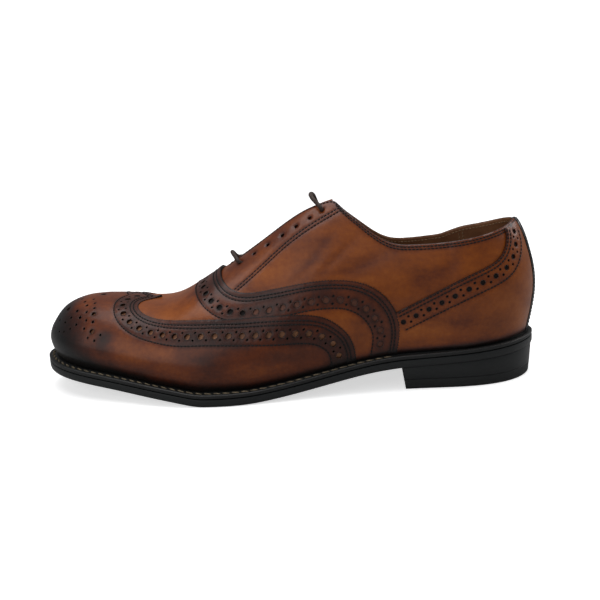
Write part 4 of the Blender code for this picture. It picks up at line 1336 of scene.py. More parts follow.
def scatter_tree(shape: Shape) -> bpy.types.NodeTree:
    """Geometry Nodes tree that sets a small shape at each point and realizes it.

    Args:
        shape: a rounded stitch, a pressed rim round a hole, or a hole's floor.

    Returns:
        The tree, with named inputs for its sizes.
    """
    tree = bpy.data.node_groups.new("set_" + shape.value, "GeometryNodeTree")
    tree.is_modifier = True
    face = tree.interface
    face.new_socket(name="Geometry", in_out="INPUT", socket_type="NodeSocketGeometry")
    face.new_socket(name="Material", in_out="INPUT", socket_type="NodeSocketMaterial")
    sized = {Shape.STITCH: ("Length", "Width", "Height"), Shape.RIM: ("Lip",), Shape.FLOOR: ()}[shape]
    for title in sized:
        face.new_socket(name=title, in_out="INPUT", socket_type="NodeSocketFloat")
    face.new_socket(name="Geometry", in_out="OUTPUT", socket_type="NodeSocketGeometry")
    bench = NodeBench(tree)
    source, sink = bench.add("NodeGroupInput"), bench.add("NodeGroupOutput")
    if shape is Shape.STITCH:
        ball = bench.add("GeometryNodeMeshUVSphere")
        bench.feed(ball, Segments=6, Rings=5, Radius=0.5)
        scale = bench.add("ShaderNodeCombineXYZ")
        for axis, title in zip("XYZ", sized):
            bench.join(source.outputs[title], scale.inputs[axis])
        turned = bench.add("GeometryNodeTransform")
        turned.inputs["Rotation"].default_value = (0.0, math.pi / 2.0, 0.0)
        bench.join(ball.outputs["Mesh"], turned.inputs["Geometry"])
        grown = bench.add("GeometryNodeTransform")
        bench.join(turned.outputs[0], grown.inputs["Geometry"])
        bench.join(scale.outputs[0], grown.inputs["Scale"])
        made = grown.outputs[0]
    elif shape is Shape.RIM:
        ring = bench.feed(bench.add("GeometryNodeCurvePrimitiveCircle"), Resolution=HOLE_SIDES, Radius=1.0)
        lip = bench.feed(bench.add("GeometryNodeCurvePrimitiveCircle"), Resolution=LIP_SIDES,
                         Radius=source.outputs["Lip"])
        swept = bench.feed(bench.add("GeometryNodeCurveToMesh"), Curve=ring.outputs["Curve"],
                           Profile_Curve=lip.outputs["Curve"])
        made = swept.outputs[0]
    else:
        disc = bench.feed(bench.add("GeometryNodeMeshCircle", fill_type="NGON"), Vertices=HOLE_SIDES,
                          Radius=1.0)
        made = disc.outputs["Mesh"]
    facing = None
    for axis, title in (("Z", "out"), ("X", "along")):
        named = bench.add("GeometryNodeInputNamedAttribute", data_type="FLOAT_VECTOR")
        named.inputs["Name"].default_value = title
        turn = bench.add("FunctionNodeAlignRotationToVector", axis=axis)
        if facing is not None:
            turn.pivot_axis = "Z"
            bench.join(facing, turn.inputs["Rotation"])
        bench.join(named.outputs["Attribute"], turn.inputs["Vector"])
        facing = turn.outputs[0]
    size = bench.add("GeometryNodeInputNamedAttribute", data_type="FLOAT")
    size.inputs["Name"].default_value = "size"
    placed = bench.add("GeometryNodeInstanceOnPoints")
    bench.join(source.outputs["Geometry"], placed.inputs["Points"])
    bench.join(made, placed.inputs["Instance"])
    bench.join(facing, placed.inputs["Rotation"])
    bench.join(size.outputs["Attribute"], placed.inputs["Scale"])
    real = bench.add("GeometryNodeRealizeInstances")
    bench.join(placed.outputs[0], real.inputs[0])
    soft = bench.add("GeometryNodeSetShadeSmooth")
    bench.join(real.outputs[0], soft.inputs["Geometry"])
    dressed = bench.add("GeometryNodeSetMaterial")
    bench.join(soft.outputs[0], dressed.inputs["Geometry"])
    bench.join(source.outputs["Material"], dressed.inputs["Material"])
    bench.join(dressed.outputs[0], sink.inputs["Geometry"])
    return tree


@dataclass
class Haberdashery:
    """Collects every stitch and every punched hole, and sets them at the end."""

    finishes: Finishes
    stitch_pitch: float = 2.15 * MM
    stitch_length: float = 1.78 * MM
    stitch_width: float = 0.84 * MM
    stitch_height: float = 0.56 * MM
    rim_lip: float = 0.09
    pale_over: float = 1.25 * MM

    def __post_init__(self) -> None:
        """Opens the books."""
        self.stitches: dict[str, Scatter] = {}
        self.rims = Scatter("hole_rims", self.finishes.pressed)
        self.floors = {"pale": Scatter("hole_floors_pale", self.finishes.plug),
                       "brown": Scatter("hole_floors_brown", self.finishes.plug_brown),
                       "dark": Scatter("hole_floors_painted_shade", self.finishes.hole_shade_floor)}

    def sew(self, book: str, pattern: Pattern, row: np.ndarray, lift: float,
            thread: bpy.types.Material | None = None) -> None:
        """Sews a row of stitches along a flat line, at a height over the skin, in a thread."""
        if len(row) < 4:
            return
        points, normals = pattern.raise_up(row, lift)
        run = run_of(points)
        count = int(run[-1] / self.stitch_pitch)
        if count < 1:
            return
        want = (np.arange(count) + 0.5) * run[-1] / count
        along = read_at(want, run, np.gradient(points, run, axis=0))
        scatter = self.stitches.setdefault(book, Scatter(book, thread or self.finishes.thread))
        scatter.add(read_at(want, run, points), along, read_at(want, run, normals), 1.0)

    def punch(self, pattern: Pattern, punches: Sequence[Punch], lift: float, floor: float, tone: str) -> None:
        """Sets a pressed rim and a floor for each hole of a panel; the big ones' floors take the tone, the
        small ones' floors are near-black discs of painted shade.
        """
        if not punches:
            return
        flat = np.array([punch.centre for punch in punches])
        radii = np.array([punch.radius for punch in punches])
        ahead = np.tile((1.0, 0.0, 0.0), (len(flat), 1))
        points, normals = pattern.raise_up(flat, lift)
        self.rims.add(points, ahead, normals, radii * 1.06)
        points, normals = pattern.raise_up(flat, floor)
        big = radii > self.pale_over
        # Small holes get near-black floors: painted shade, not the leather below.
        for book, chosen in ((tone, big), ("dark", ~big)):
            if chosen.any():
                self.floors[book].add(points[chosen], ahead[chosen], normals[chosen], radii[chosen] * 1.15)

    def finish(self) -> list[bpy.types.Object]:
        """Realizes every book.

        Returns:
            The plain mesh objects.
        """
        stitch, rim, floor = (scatter_tree(shape) for shape in Shape)
        made = [book.realize(stitch, Length=self.stitch_length, Width=self.stitch_width,
                             Height=self.stitch_height) for book in self.stitches.values()]
        made.append(self.rims.realize(rim, Lip=self.rim_lip))
        made += [book.realize(floor) for book in self.floors.values() if book.points]
        return made


@dataclass
class BrogueBand:
    """A band beside a seam: stitch rows, big holes on a line and pairs of small ones between."""

    seam: Seam
    twin_rows: tuple[float, float]
    hole_line: float
    low_row: float
    big: float
    small: float = 0.68 * MM
    pair: float = 4.2 * MM
    pitch: float = 8.45 * MM
    start: float = 1.0 * MM

    def rows(self) -> list[np.ndarray]:
        """Its stitch rows as flat lines."""
        return [self.seam.beside(gap) for gap in (*self.twin_rows, self.low_row)]

    def punches(self) -> list[Punch]:
        """Its holes."""
        line = self.seam.beside(self.hole_line)
        run = run_of(line)
        count = int((run[-1] - 2.0 * self.start) / self.pitch)
        made = []
        for k in range(2 * count + 1):
            at = np.array([self.start + k * self.pitch / 2.0])
            point = read_at(at, run, line)[0]
            ahead = read_at(at, run, np.gradient(line, axis=0))[0]
            ahead /= np.linalg.norm(ahead)
            square = np.array((-ahead[1], ahead[0]))
            if k % 2 == 0:
                made.append(Punch(tuple(point), self.big))
            else:
                for way in (-0.5, 0.5):
                    made.append(Punch(tuple(point + square * way * self.pair), self.small))
        return made


def guide_points(rows: Sequence[np.ndarray], beside: float = 0.75 * MM) -> list[np.ndarray]:
    """Mesh guides along and beside stitch rows, so that a groove can sink there."""
    made = []
    for row in rows:
        if len(row) < 4:
            continue
        line = resample(row, 1.1 * MM)
        square = left_of(line) * beside
        made += [line, line + square, line - square]
    return made


def spread(punches: Sequence[Punch], gap: float = 0.5 * MM) -> list[Punch]:
    """The holes that stay clear of the ones before them."""
    kept: list[Punch] = []
    for punch in punches:
        if all(math.dist(punch.centre, other.centre) > punch.radius + other.radius + gap for other in kept):
            kept.append(punch)
    return kept


@dataclass
class Upper:
    """The whole leather upper: shell, wing cap, vamp, counters, strip, tongue and their sewing."""

    last: Last
    finishes: Finishes
    sewing: Haberdashery
    wall: float = 1.8 * MM
    overlay: float = 1.1 * MM
    cap_overlay: float = 1.75 * MM
    tooth_pitch: float = 1.75 * MM
    tooth_depth: float = 0.5 * MM
    foot: float = 0.2 * MM
    fold: float = 1.2 * MM
    strip_seat: float = 7.5 * MM
    strip_top: float = 5.5 * MM
    strip_thick: float = 1.45 * MM
    eyelet_radius: float = 1.12 * MM
    seat: float = 0.05 * MM
    thread_lift: float = 0.02 * MM
    rim_drop: float = 0.10 * MM
    brown_from: float = 96.0 * MM
    shown_from: float = 1.33

    def __post_init__(self) -> None:
        """Draws the patterns and the seams of both sides."""
        self.front, self.heel = FrontPattern(self.last), HeelPattern(self.last)
        self.patina = Patina(self.last)
        self.wing_bands = self._bands(self.front, WING_SEAM, twin_rows=(3.1 * MM, 5.0 * MM),
                                      hole_line=9.6 * MM, low_row=14.6 * MM, big=1.8 * MM)
        self.vamp_bands = self._bands(self.front, VAMP_SEAM, twin_rows=(2.9 * MM, 4.7 * MM),
                                      hole_line=11.2 * MM, low_row=15.8 * MM, big=1.75 * MM)
        self.counter_bands = self._bands(self.heel, COUNTER_SEAM, twin_rows=(0.9 * MM, 2.9 * MM),
                                         hole_line=7.0 * MM, low_row=11.9 * MM, big=1.4 * MM, pair=3.6 * MM,
                                         pitch=8.0 * MM)

    def _bands(self, pattern: Pattern, table: Table, **sizes: object) -> dict[Side, BrogueBand]:
        """A brogue band beside a seam, for either side."""
        return {side: BrogueBand(Seam(pattern, side, table, foot=self.foot), **sizes) for side in Side}

    def _places(self, start: float, end: float) -> np.ndarray:
        """Rib places between two ends."""
        return np.linspace(start, end, max(2, int(abs(end - start) / PLACE_STEP)))

    def _sewn(self, panel: Panel, book: str, *materials: bpy.types.Material) -> bpy.types.Object:
        """Builds a panel and sews its rows."""
        made = panel.build(self.patina, materials)
        for row in panel.rows:
            self.sewing.sew(book, panel.pattern, row, panel.high + self.thread_lift)
        return made

    def _dark_band(self, bands: dict[Side, BrogueBand],
                   amount: float) -> list[tuple[np.ndarray, float, float]]:
        """A darker strip between a seam and its lower stitch row, both sides in one."""
        line = np.vstack([band.seam.line[::3] for band in bands.values()])
        return [(line, bands[Side.OUTER].low_row, amount)]

    def curled(self, place: float, height: float, half: float) -> Profile:
        """A rise of the leather's edge where a seam crosses the ridge.

        Args:
            place: rib place of the crossing.
            height: rise at the tip.
            half: width of the rise to either side of the ridge.

        Returns:
            A function from flat points to extra heights.
        """
        tip, reach = (place - 1.0) * self.last.span, 3.2 * MM
        return lambda flat: height * np.exp(-((flat[:, 0] - tip) / reach) ** 2 - (flat[:, 1] / half) ** 2)

    def wing_cap(self) -> bpy.types.Object:
        """The wing cap with its punched band, medallion and gimped edge."""
        halves, punches, rows = [], [], []
        for side in Side:
            band = self.wing_bands[side]
            places = self._places(WING_SEAM[-1][0], 0.0)[1:]
            foot = self.front.flat(side.value, places, np.full(len(places), self.foot))
            halves.append(np.vstack([band.seam.gimped(self.tooth_pitch, self.tooth_depth), foot]))
            punches += band.punches()
            rows += band.rows()
            for behind, round_from, radius in MEDALLION:
                if round_from > 0.5 or side is Side.OUTER:
                    punches.append(Punch((behind * MM, side.value * round_from * MM), radius * MM))
        rim = np.vstack([halves[0], halves[1][::-1][1:-1]])
        punches = spread(punches)
        lift = self.last.clear + self.cap_overlay
        panel = Panel("cap_leather", self.front, rim, self.seat, lift, punches=punches, rows=rows,
                      guards=guide_points(rows), bands=self._dark_band(self.wing_bands, 0.13),
                      curl=self.curled(WING_SEAM[0][0], 1.0 * MM, 10.0 * MM))
        self.sewing.punch(self.front, punches, lift - self.rim_drop, 0.35 * MM, "pale")
        return self._sewn(panel, "wing_stitches", self.finishes.cap)

    def vamp(self) -> bpy.types.Object:
        """The vamp, its front edge under the wing cap, its rear seam swept down to the feather."""
        halves, punches, rows = [], [], []
        for side in Side:
            band = self.vamp_bands[side]
            wing = self.wing_bands[side].seam
            under = resample(wing.beside(1.6 * MM, 0.0), 1.5 * MM)
            places = self._places(VAMP_SEAM[-1][0], self.front.back(under[-1:])[1][0])[1:-1]
            foot = self.front.flat(side.value, places, np.full(len(places), self.foot))
            teeth = band.seam.gimped(self.tooth_pitch, self.tooth_depth)
            halves.append(np.vstack([teeth, foot, under[::-1]]))
            covered = wing.line[::4]
            for punch in band.punches():
                gap = np.linalg.norm(covered - np.array(punch.centre), axis=1).min()
                if gap > punch.radius + 0.8 * MM:
                    punches.append(punch)
            for row in band.rows():
                away = np.linalg.norm(row[:, None] - covered[None], axis=2).min(axis=1)
                rows.append(row[away > 0.7 * MM])
        rim = np.vstack([halves[0], halves[1][::-1]])
        punches = spread(punches)
        lift = self.last.clear + self.overlay
        panel = Panel("vamp_leather", self.front, rim, self.seat, lift, punches=punches, rows=rows,
                      guards=guide_points(rows), bands=self._dark_band(self.vamp_bands, 0.26),
                      curl=self.curled(VAMP_SEAM[0][0], 0.7 * MM, 7.0 * MM))
        shallow = [punch for punch in punches if punch.centre[0] > self.brown_from]
        deep = [punch for punch in punches if punch.centre[0] <= self.brown_from]
        self.sewing.punch(self.front, shallow, lift - self.rim_drop, 0.7 * MM, "brown")
        # The front holes get near-black floors: painted shade inside the hole.
        self.sewing.punch(self.front, deep, lift - self.rim_drop, 0.3 * MM, "dark")
        return self._sewn(panel, "vamp_stitches", self.finishes.calf)

    def counter(self, side: Side) -> bpy.types.Object:
        """One counter: under the vamp's rear seam, up its own seam, along the topline to the strip."""
        last, sign = self.last, side.value
        band = self.counter_bands[side]
        start = COUNTER_SEAM[0][0] - PLACE_STEP
        seam = band.seam.line
        end_place = float(last.place_at(side, self.strip_top))
        top_start = self.heel.back(seam[-1:])[1][0]
        places = self._places(top_start, end_place)
        top = self.heel.flat(sign, places, last.top(side, places) - self.fold)
        seam = seam[seam[:, 1] < np.interp(np.abs(seam[:, 0]), np.abs(top[::-1, 0]), top[::-1, 1]) - 0.2 * MM]
        shares = np.linspace(0.0, 1.0, 30)
        width = self.strip_seat + (self.strip_top - self.strip_seat) * shares
        strip_place = last.place_at(side, width)
        height = last.top(side, strip_place) - self.fold - self.foot
        strip = np.column_stack([sign * width, self.foot + shares * height])
        foot_places = self._places(float(strip_place[0]), start)[1:]
        foot = self.heel.flat(sign, foot_places, np.full(len(foot_places), self.foot))
        rise = np.linspace(self.foot, seam[0, 1], 10)[1:-1]
        front = np.column_stack([np.full(len(rise), foot[-1, 0]), rise])
        rim = np.vstack([resample(seam, 1.2 * MM), top[1:], strip[::-1][1:], foot, front])
        if sign > 0:
            rim = rim[::-1]
        edge_world, _ = self.front.raise_up(self.vamp_bands[side].seam.line, 0.0)
        punches = spread([punch for punch in band.punches() if self._behind(punch, edge_world)])
        rows = [row[self._rows_behind(row, edge_world)] for row in band.rows()]
        lift = last.clear + self.overlay - 0.25 * MM
        name = "counter_leather_" + side.name.lower()
        panel = Panel(name, self.heel, rim, self.seat, lift, punches=punches, rows=rows,
                      guards=guide_points(rows), bands=[(band.seam.line[::3], band.low_row, 0.07)], halo=0.04)
        # Near-black floors: painted shade inside the counter's holes.
        self.sewing.punch(self.heel, punches, lift - self.rim_drop, 0.3 * MM, "dark")
        return self._sewn(panel, "counter_stitches", self.finishes.calf)

    def _behind(self, punch: Punch, edge: np.ndarray) -> bool:
        """Whether a hole of the counter clears the vamp's rear edge."""
        point, _ = self.heel.raise_up(np.array([punch.centre]), 0.0)
        gap = np.linalg.norm(edge - point[0], axis=1)
        return bool(gap.min() > punch.radius + 0.4 * MM and point[0, 0] > edge[gap.argmin(), 0])

    def _rows_behind(self, row: np.ndarray, edge: np.ndarray) -> np.ndarray:
        """Which points of a counter's row lie behind the vamp's rear edge."""
        points, _ = self.heel.raise_up(row, 0.0)
        gap = np.linalg.norm(points[:, None] - edge[None, ::3], axis=2)
        near = edge[::3][gap.argmin(axis=1)]
        return (gap.min(axis=1) > 0.6 * MM) & (points[:, 0] > near[:, 0])

    def back_strip(self) -> bpy.types.Object:
        """The black strip over the back seam."""
        last = self.last
        shares = np.linspace(0.0, 1.0, 60)
        width = self.strip_seat + (self.strip_top - self.strip_seat) * shares
        edges, rows = [], []
        for side in Side:
            top = last.top(side, last.place_at(side, width)) - self.fold
            edge = np.column_stack([side.value * width, self.foot + shares * (top - self.foot)])
            edges.append(edge)
            rows.append((edge - np.array((side.value * 1.5 * MM, 0.0)))[2:-2])
        top = last.top(Side.OUTER, 3.0) - self.fold
        ways = np.linspace(-0.8, 0.8, 9)
        low_end = np.column_stack([ways * self.strip_seat, np.full(len(ways), self.foot)])
        top_end = np.column_stack([ways * self.strip_top, np.full(len(ways), top)])
        rim = np.vstack([edges[0][::-1], low_end, edges[1], top_end[::-1]])
        panel = Panel("strip_leather", self.heel, rim, self.seat, last.clear + self.strip_thick, rows=rows,
                      guards=guide_points(rows), round_depth=0.5 * MM, round_width=0.9 * MM)
        return self._sewn(panel, "strip_stitches", self.finishes.black)

    def shell(self) -> bpy.types.Object:
        """Quarters and lining as one wall with a folded topline and punched eyelets."""
        last = self.last
        half = {}
        throat = last.place_of(last.throat_at)
        for side in Side:
            places = np.r_[np.linspace(0.0, throat, 60, endpoint=False),
                           np.linspace(throat, 1.95, 260, endpoint=False), np.linspace(1.95, 3.0, 110)]
            top = self.heel.flat(side.value, places, last.top(side, places))
            low = self.heel.flat(side.value, places[::3], np.zeros(len(places[::3])))
            if (len(places) - 1) % 3:
                low = np.vstack([low, self.heel.flat(side.value, places[-1:], np.zeros(1))])
            half[side] = (low, top)
        low_out, top_out = half[Side.OUTER]
        low_in, top_in = half[Side.INNER]
        shares = np.linspace(0.0, 1.0, 14)[1:-1, None]
        ends = [low[0] + (top[0] - low[0]) * shares for low, top in ((low_in, top_in), (low_out, top_out))]
        rim = np.vstack([low_out, low_in[::-1][1:], ends[0], top_in, top_out[::-1][1:], ends[1][::-1]])
        punches = []
        for side in Side:
            for place, out in EYELETS:
                up = float(last.full(side, place)) - out * MM
                centre = self.heel.flat(side.value, np.array([place]), np.array([up]))[0]
                punches.append(Punch(tuple(centre), self.eyelet_radius))
        shown = {side: float(last.run_at(side, self.shown_from)) for side in Side}

        def finer(net: np.ndarray) -> np.ndarray:
            """Keeps every point where the shell shows, and few under the wing and vamp."""
            limit = np.where(net[:, 0] < 0.0, shown[Side.OUTER], shown[Side.INNER])
            coarse = np.round(net[:, 0] / (1.7 * MM)).astype(int) % 4 == 0
            return (np.abs(net[:, 0]) < limit) | coarse

        ridge_end = {side: float(last.run_at(side, throat)) for side in Side}

        def joined(flat: np.ndarray) -> np.ndarray:
            """Which rim points meet their twins of the other side: ridge and centre front."""
            sign, place, up = self.heel.back(flat)
            limit = np.where(sign < 0, ridge_end[Side.OUTER], ridge_end[Side.INNER])
            on_ridge = (np.abs(flat[:, 0]) >= limit - 1e-7) & (up > last.girth_by(sign, place) - 1e-6)
            return on_ridge | (place < 1e-5)

        rows = self.shell_rows()
        self.sew_lining()
        panel = Panel("upper_shell", self.heel, rim, -self.wall, 0.0, punches=punches, rows=rows,
                      guards=guide_points(rows), finer=finer, joined=joined, round_width=1.0 * MM,
                      round_depth=0.75 * MM, round_low=0.75 * MM)
        return self._sewn(panel, "quarter_stitches", self.finishes.calf, self.finishes.lining)

    def shell_rows(self) -> list[np.ndarray]:
        """Stitch rows of the quarters: facing seam, facing edge and topline."""
        last = self.last
        rows = []
        facing = np.array(FACING_SEAM)
        curve = Spline(facing[:, 0], facing[:, 1])
        for side in Side:
            seam_place, seam_up = self.front.back(self.vamp_bands[side].seam.line)[1:]
            order = np.argsort(seam_place)
            for extra in FACING_ROWS:
                place = np.linspace(facing[0, 0], facing[-1, 0], 240)
                up = last.full(side, place) - (curve(place) + extra) * MM
                over = up > np.interp(place, seam_place[order], seam_up[order]) + 0.4 * MM
                under = up < last.top(side, place) - 1.0 * MM
                rows.append(self.heel.flat(side.value, place[over & under], up[over & under]))
            place = np.linspace(THROAT_ROW_FROM, TOPLINE_FROM, 200)
            rows.append(self.heel.flat(side.value, place, last.top(side, place) - THROAT_ROW * MM))
            place = np.linspace(TOPLINE_FROM, TOPLINE_TO, 400)
            for gap in TOPLINE_ROWS:
                rows.append(self.heel.flat(side.value, place, last.top(side, place) - gap * MM))
        return [row for row in rows if len(row) > 4]

    def sew_lining(self) -> None:
        """Sews pale rows on the lining: one under the topline, and two seams down each side."""
        last = self.last
        depth = np.linspace(3.5 * MM, 34.0 * MM, 60)
        for side in Side:
            place = np.linspace(LINING_FROM, TOPLINE_TO, 300)
            rows = [self.heel.flat(side.value, place, last.top(side, place) - LINING_ROW * MM)]
            for middle in LINING_SEAMS:
                place = np.full(len(depth), middle)
                rows.append(self.heel.flat(side.value, place, last.top(side, place) - depth))
            for row in rows:
                self.sewing.sew("lining_stitches", self.heel, row, -self.wall - 2.0 * self.thread_lift,
                                self.finishes.pale_thread)

    def tongue(self) -> bpy.types.Object:
        """The tongue under the throat."""
        last = self.last
        start, end = TONGUE_START * last.length, last.tongue_end
        narrow, wide, count = 15.0 * MM, 27.0 * MM, 40
        rows_top, rows_low = [], []
        for way in np.linspace(0.0, 1.0, 60):
            x = start + (end - start) * way - last.toe_pole
            half = narrow + (wide - narrow) * way
            across = np.linspace(-half, half, count)
            flat = np.column_stack([np.full(count, x), across])
            flat[:, 0] -= 3.0 * MM * (np.abs(across) / half) ** 3 * way
            rows_top.append(self.front.raise_up(flat, -(self.wall + 0.5 * MM))[0])
            rows_low.append(self.front.raise_up(flat, -(self.wall + 2.3 * MM))[0])
        rings = [np.vstack([top, low[::-1]]) for top, low in zip(rows_top, rows_low)]
        made = grid_object("tongue_leather", np.array(rings), self.finishes.calf, caps=True)
        count = len(made.data.vertices)
        add_values(made.data, burn=np.full(count, 0.36), edge_mm=np.full(count, 5.0))
        return made


@dataclass
class SoleUnit:
    """Welt with its stitching, outsole, heel stack and top lift, and the insole."""

    last: Last
    finishes: Finishes
    edge_round: float = 0.7 * MM
    heel_taper: float = 1.4 * MM
    top_lift: float = 6.0 * MM
    stitch_pitch: float = 5.2 * MM
    stitch_inset: float = 2.9 * MM
    stitch_size: tuple[float, float, float] = (4.9 * MM, 1.15 * MM, 0.9 * MM)
    stitch_slant: float = 0.30
    stitches_end: float = 1.84
    insole_rise: float = 2.6 * MM
    welt_under: float = 2.1 * MM
    welt_least: float = 5.2 * MM

    def places(self) -> np.ndarray:
        """Rib places round one side."""
        fan = np.linspace(0.0, 1.0, 64, endpoint=False)
        return np.r_[fan, np.linspace(1.0, 2.0, 150, endpoint=False), 2.0 + fan, 3.0]

    def ring(self, inset: Callable[[float], float], height: Profile,
             places: np.ndarray | None = None) -> np.ndarray:
        """Closed ring round the sole.

        Args:
            inset: distance inside the outsole's edge at a rib place.
            height: height at a station.
            places: rib places, or None for the whole sole.

        Returns:
            Points of the outer side from front to back, then of the inner side from back to front.
        """
        chosen = self.places() if places is None else places
        halves = []
        for side in Side:
            plan = np.array([self.last.edge_point(side, place, inset(place)) for place in chosen])
            halves.append(np.column_stack([plan, height(plan[:, 0])]))
        inner = halves[1][::-1]
        if places is None:
            inner = inner[1:-1]
        return np.vstack([halves[0], inner]) + self.last.shift

    def edge_rings(self, table: Table, base: Profile, thick: float) -> list[np.ndarray]:
        """Rings round the sole's edge through a table of insets, shares of the thickness and heights."""
        rings = []
        for inset, share, extra in table:
            rings.append(self.ring(lambda place, d=inset: d * MM,
                                   lambda x, s=share, e=extra: base(x) + s * thick + e * MM))
        return rings

    def welt(self) -> bpy.types.Object:
        """The welt with a groove under its stitches and a rounded edge."""
        last = self.last

        def base(x: np.ndarray) -> np.ndarray:
            """Height of the welt's lower face."""
            return last.outsole_top(x) + last.clear

        def inner(place: float) -> float:
            """Inset of the welt's hidden edge."""
            return max(last.feather_inset(place) + self.welt_under, self.welt_least)

        rings = self.edge_rings(WELT_EDGE, base, last.welt_thick)
        rings += [self.ring(inner, last.welt_top), self.ring(inner, base), rings[0]]
        return grid_object("welt_strip", np.array(rings), self.finishes.welt)

    def welt_stitches(self) -> bpy.types.Object:
        """Slanted natural stitches on the welt, from the waist round the toe to the waist."""
        last = self.last
        book = Scatter("welt_stitches", self.finishes.welt_thread)
        for side in Side:
            places = np.linspace(0.0, self.stitches_end, 500)
            plan = np.array([last.edge_point(side, place, self.stitch_inset) for place in places])
            height = last.welt_top(plan[:, 0]) - 0.12 * MM
            points = np.column_stack([plan, height]) + last.shift
            run = run_of(points)
            count = int(run[-1] / self.stitch_pitch)
            want = (np.arange(count) + 0.5) * run[-1] / count
            along = read_at(want, run, np.gradient(points, run, axis=0))
            out = np.cross(along, np.cross(np.array((0.0, 0.0, 1.0)), along))
            slanted = along + self.stitch_slant * side.value * np.cross(out, along)
            book.add(read_at(want, run, points), slanted, out, 1.0)
        length, width, height = self.stitch_size
        return book.realize(scatter_tree(Shape.STITCH), Length=length, Width=width, Height=height)

    def outsole(self) -> bpy.types.Object:
        """The outsole: rounded edge, toe spring, shank and flat tread."""
        rings = self.edge_rings(OUTSOLE_EDGE, self.last.sole_bottom, self.last.outsole_thick)
        return self._plate("outsole_leather", rings, self.finishes.sole)

    def _plate(self, name: str, rings: Sequence[np.ndarray], finish: bpy.types.Material) -> bpy.types.Object:
        """Closed plate through rings, its two faces filled with strips across the shoe."""
        tool = bmesh.new()
        loops = bridge(tool, rings)
        count = len(loops[0])
        half = count // 2
        toe_gap = (Vector(rings[0][0]) - Vector(rings[0][-1])).length
        whole = count % 2 == 0 and toe_gap < 8.0 * MM
        for loop in (loops[0], loops[-1]):
            for k in range(half if whole else half - 1):
                if whole:
                    corners = (loop[k], loop[(k + 1) % count], loop[(-k - 1) % count], loop[(-k) % count])
                else:
                    corners = (loop[k], loop[k + 1], loop[-k - 2], loop[-k - 1])
                corners = list(dict.fromkeys(corners))
                if len(corners) > 2:
                    tool.faces.new(corners)
        return closed_object(name, tool, finish, 32.0)

    def heel_ring(self, taper: float, height: Profile) -> np.ndarray:
        """Ring round the heel, its breast cut straight."""
        last = self.last
        front = last.place_of(last.breast + taper)
        behind = [place for place in self.places() if place > last.place_of(last.breast) + PLACE_STEP]
        return self.ring(lambda place: self.edge_round + taper, height, np.r_[front, behind])

    def heel(self) -> list[bpy.types.Object]:
        """Heel stack and top lift."""
        last, seam = self.last, self.top_lift

        def level(height: float, extra: float = 0.0) -> np.ndarray:
            """Flat ring of the heel at a height."""
            taper = self.heel_taper * (1.0 - height / last.heel_height)
            return self.heel_ring(taper + extra, lambda x: np.full_like(x, height))

        stack = [level(seam + 0.05 * MM, 0.25 * MM), level(seam + 0.25 * MM, 0.05 * MM),
                 level(seam + 0.5 * MM),
                 self.heel_ring(0.0, lambda x: last.sole_bottom(x) - 0.7 * MM),
                 self.heel_ring(0.25 * MM, lambda x: last.sole_bottom(x) - last.clear * 0.5)]
        lift = [level(0.0, 0.7 * MM), level(0.15 * MM, 0.25 * MM), level(0.5 * MM), level(seam - 0.4 * MM),
                level(seam - 0.1 * MM, 0.08 * MM), level(seam, 0.25 * MM)]
        return [self._plate("heel_lifts", stack, self.finishes.sole),
                self._plate("heel_top_lift", lift, self.finishes.rubber)]

    def insole(self) -> bpy.types.Object:
        """The insole with its sock."""
        last = self.last
        top = last.clear + last.welt_thick + self.insole_rise
        rings = []
        for extra, height in ((0.0, last.clear), (0.0, top - 0.3 * MM), (0.4 * MM, top)):
            rings.append(self.ring(lambda place, e=extra: last.feather_inset(place) + 2.4 * MM + e,
                                   lambda x, h=height: last.outsole_top(x) + h))
        return self._plate("insole_leather", rings, self.finishes.insole)


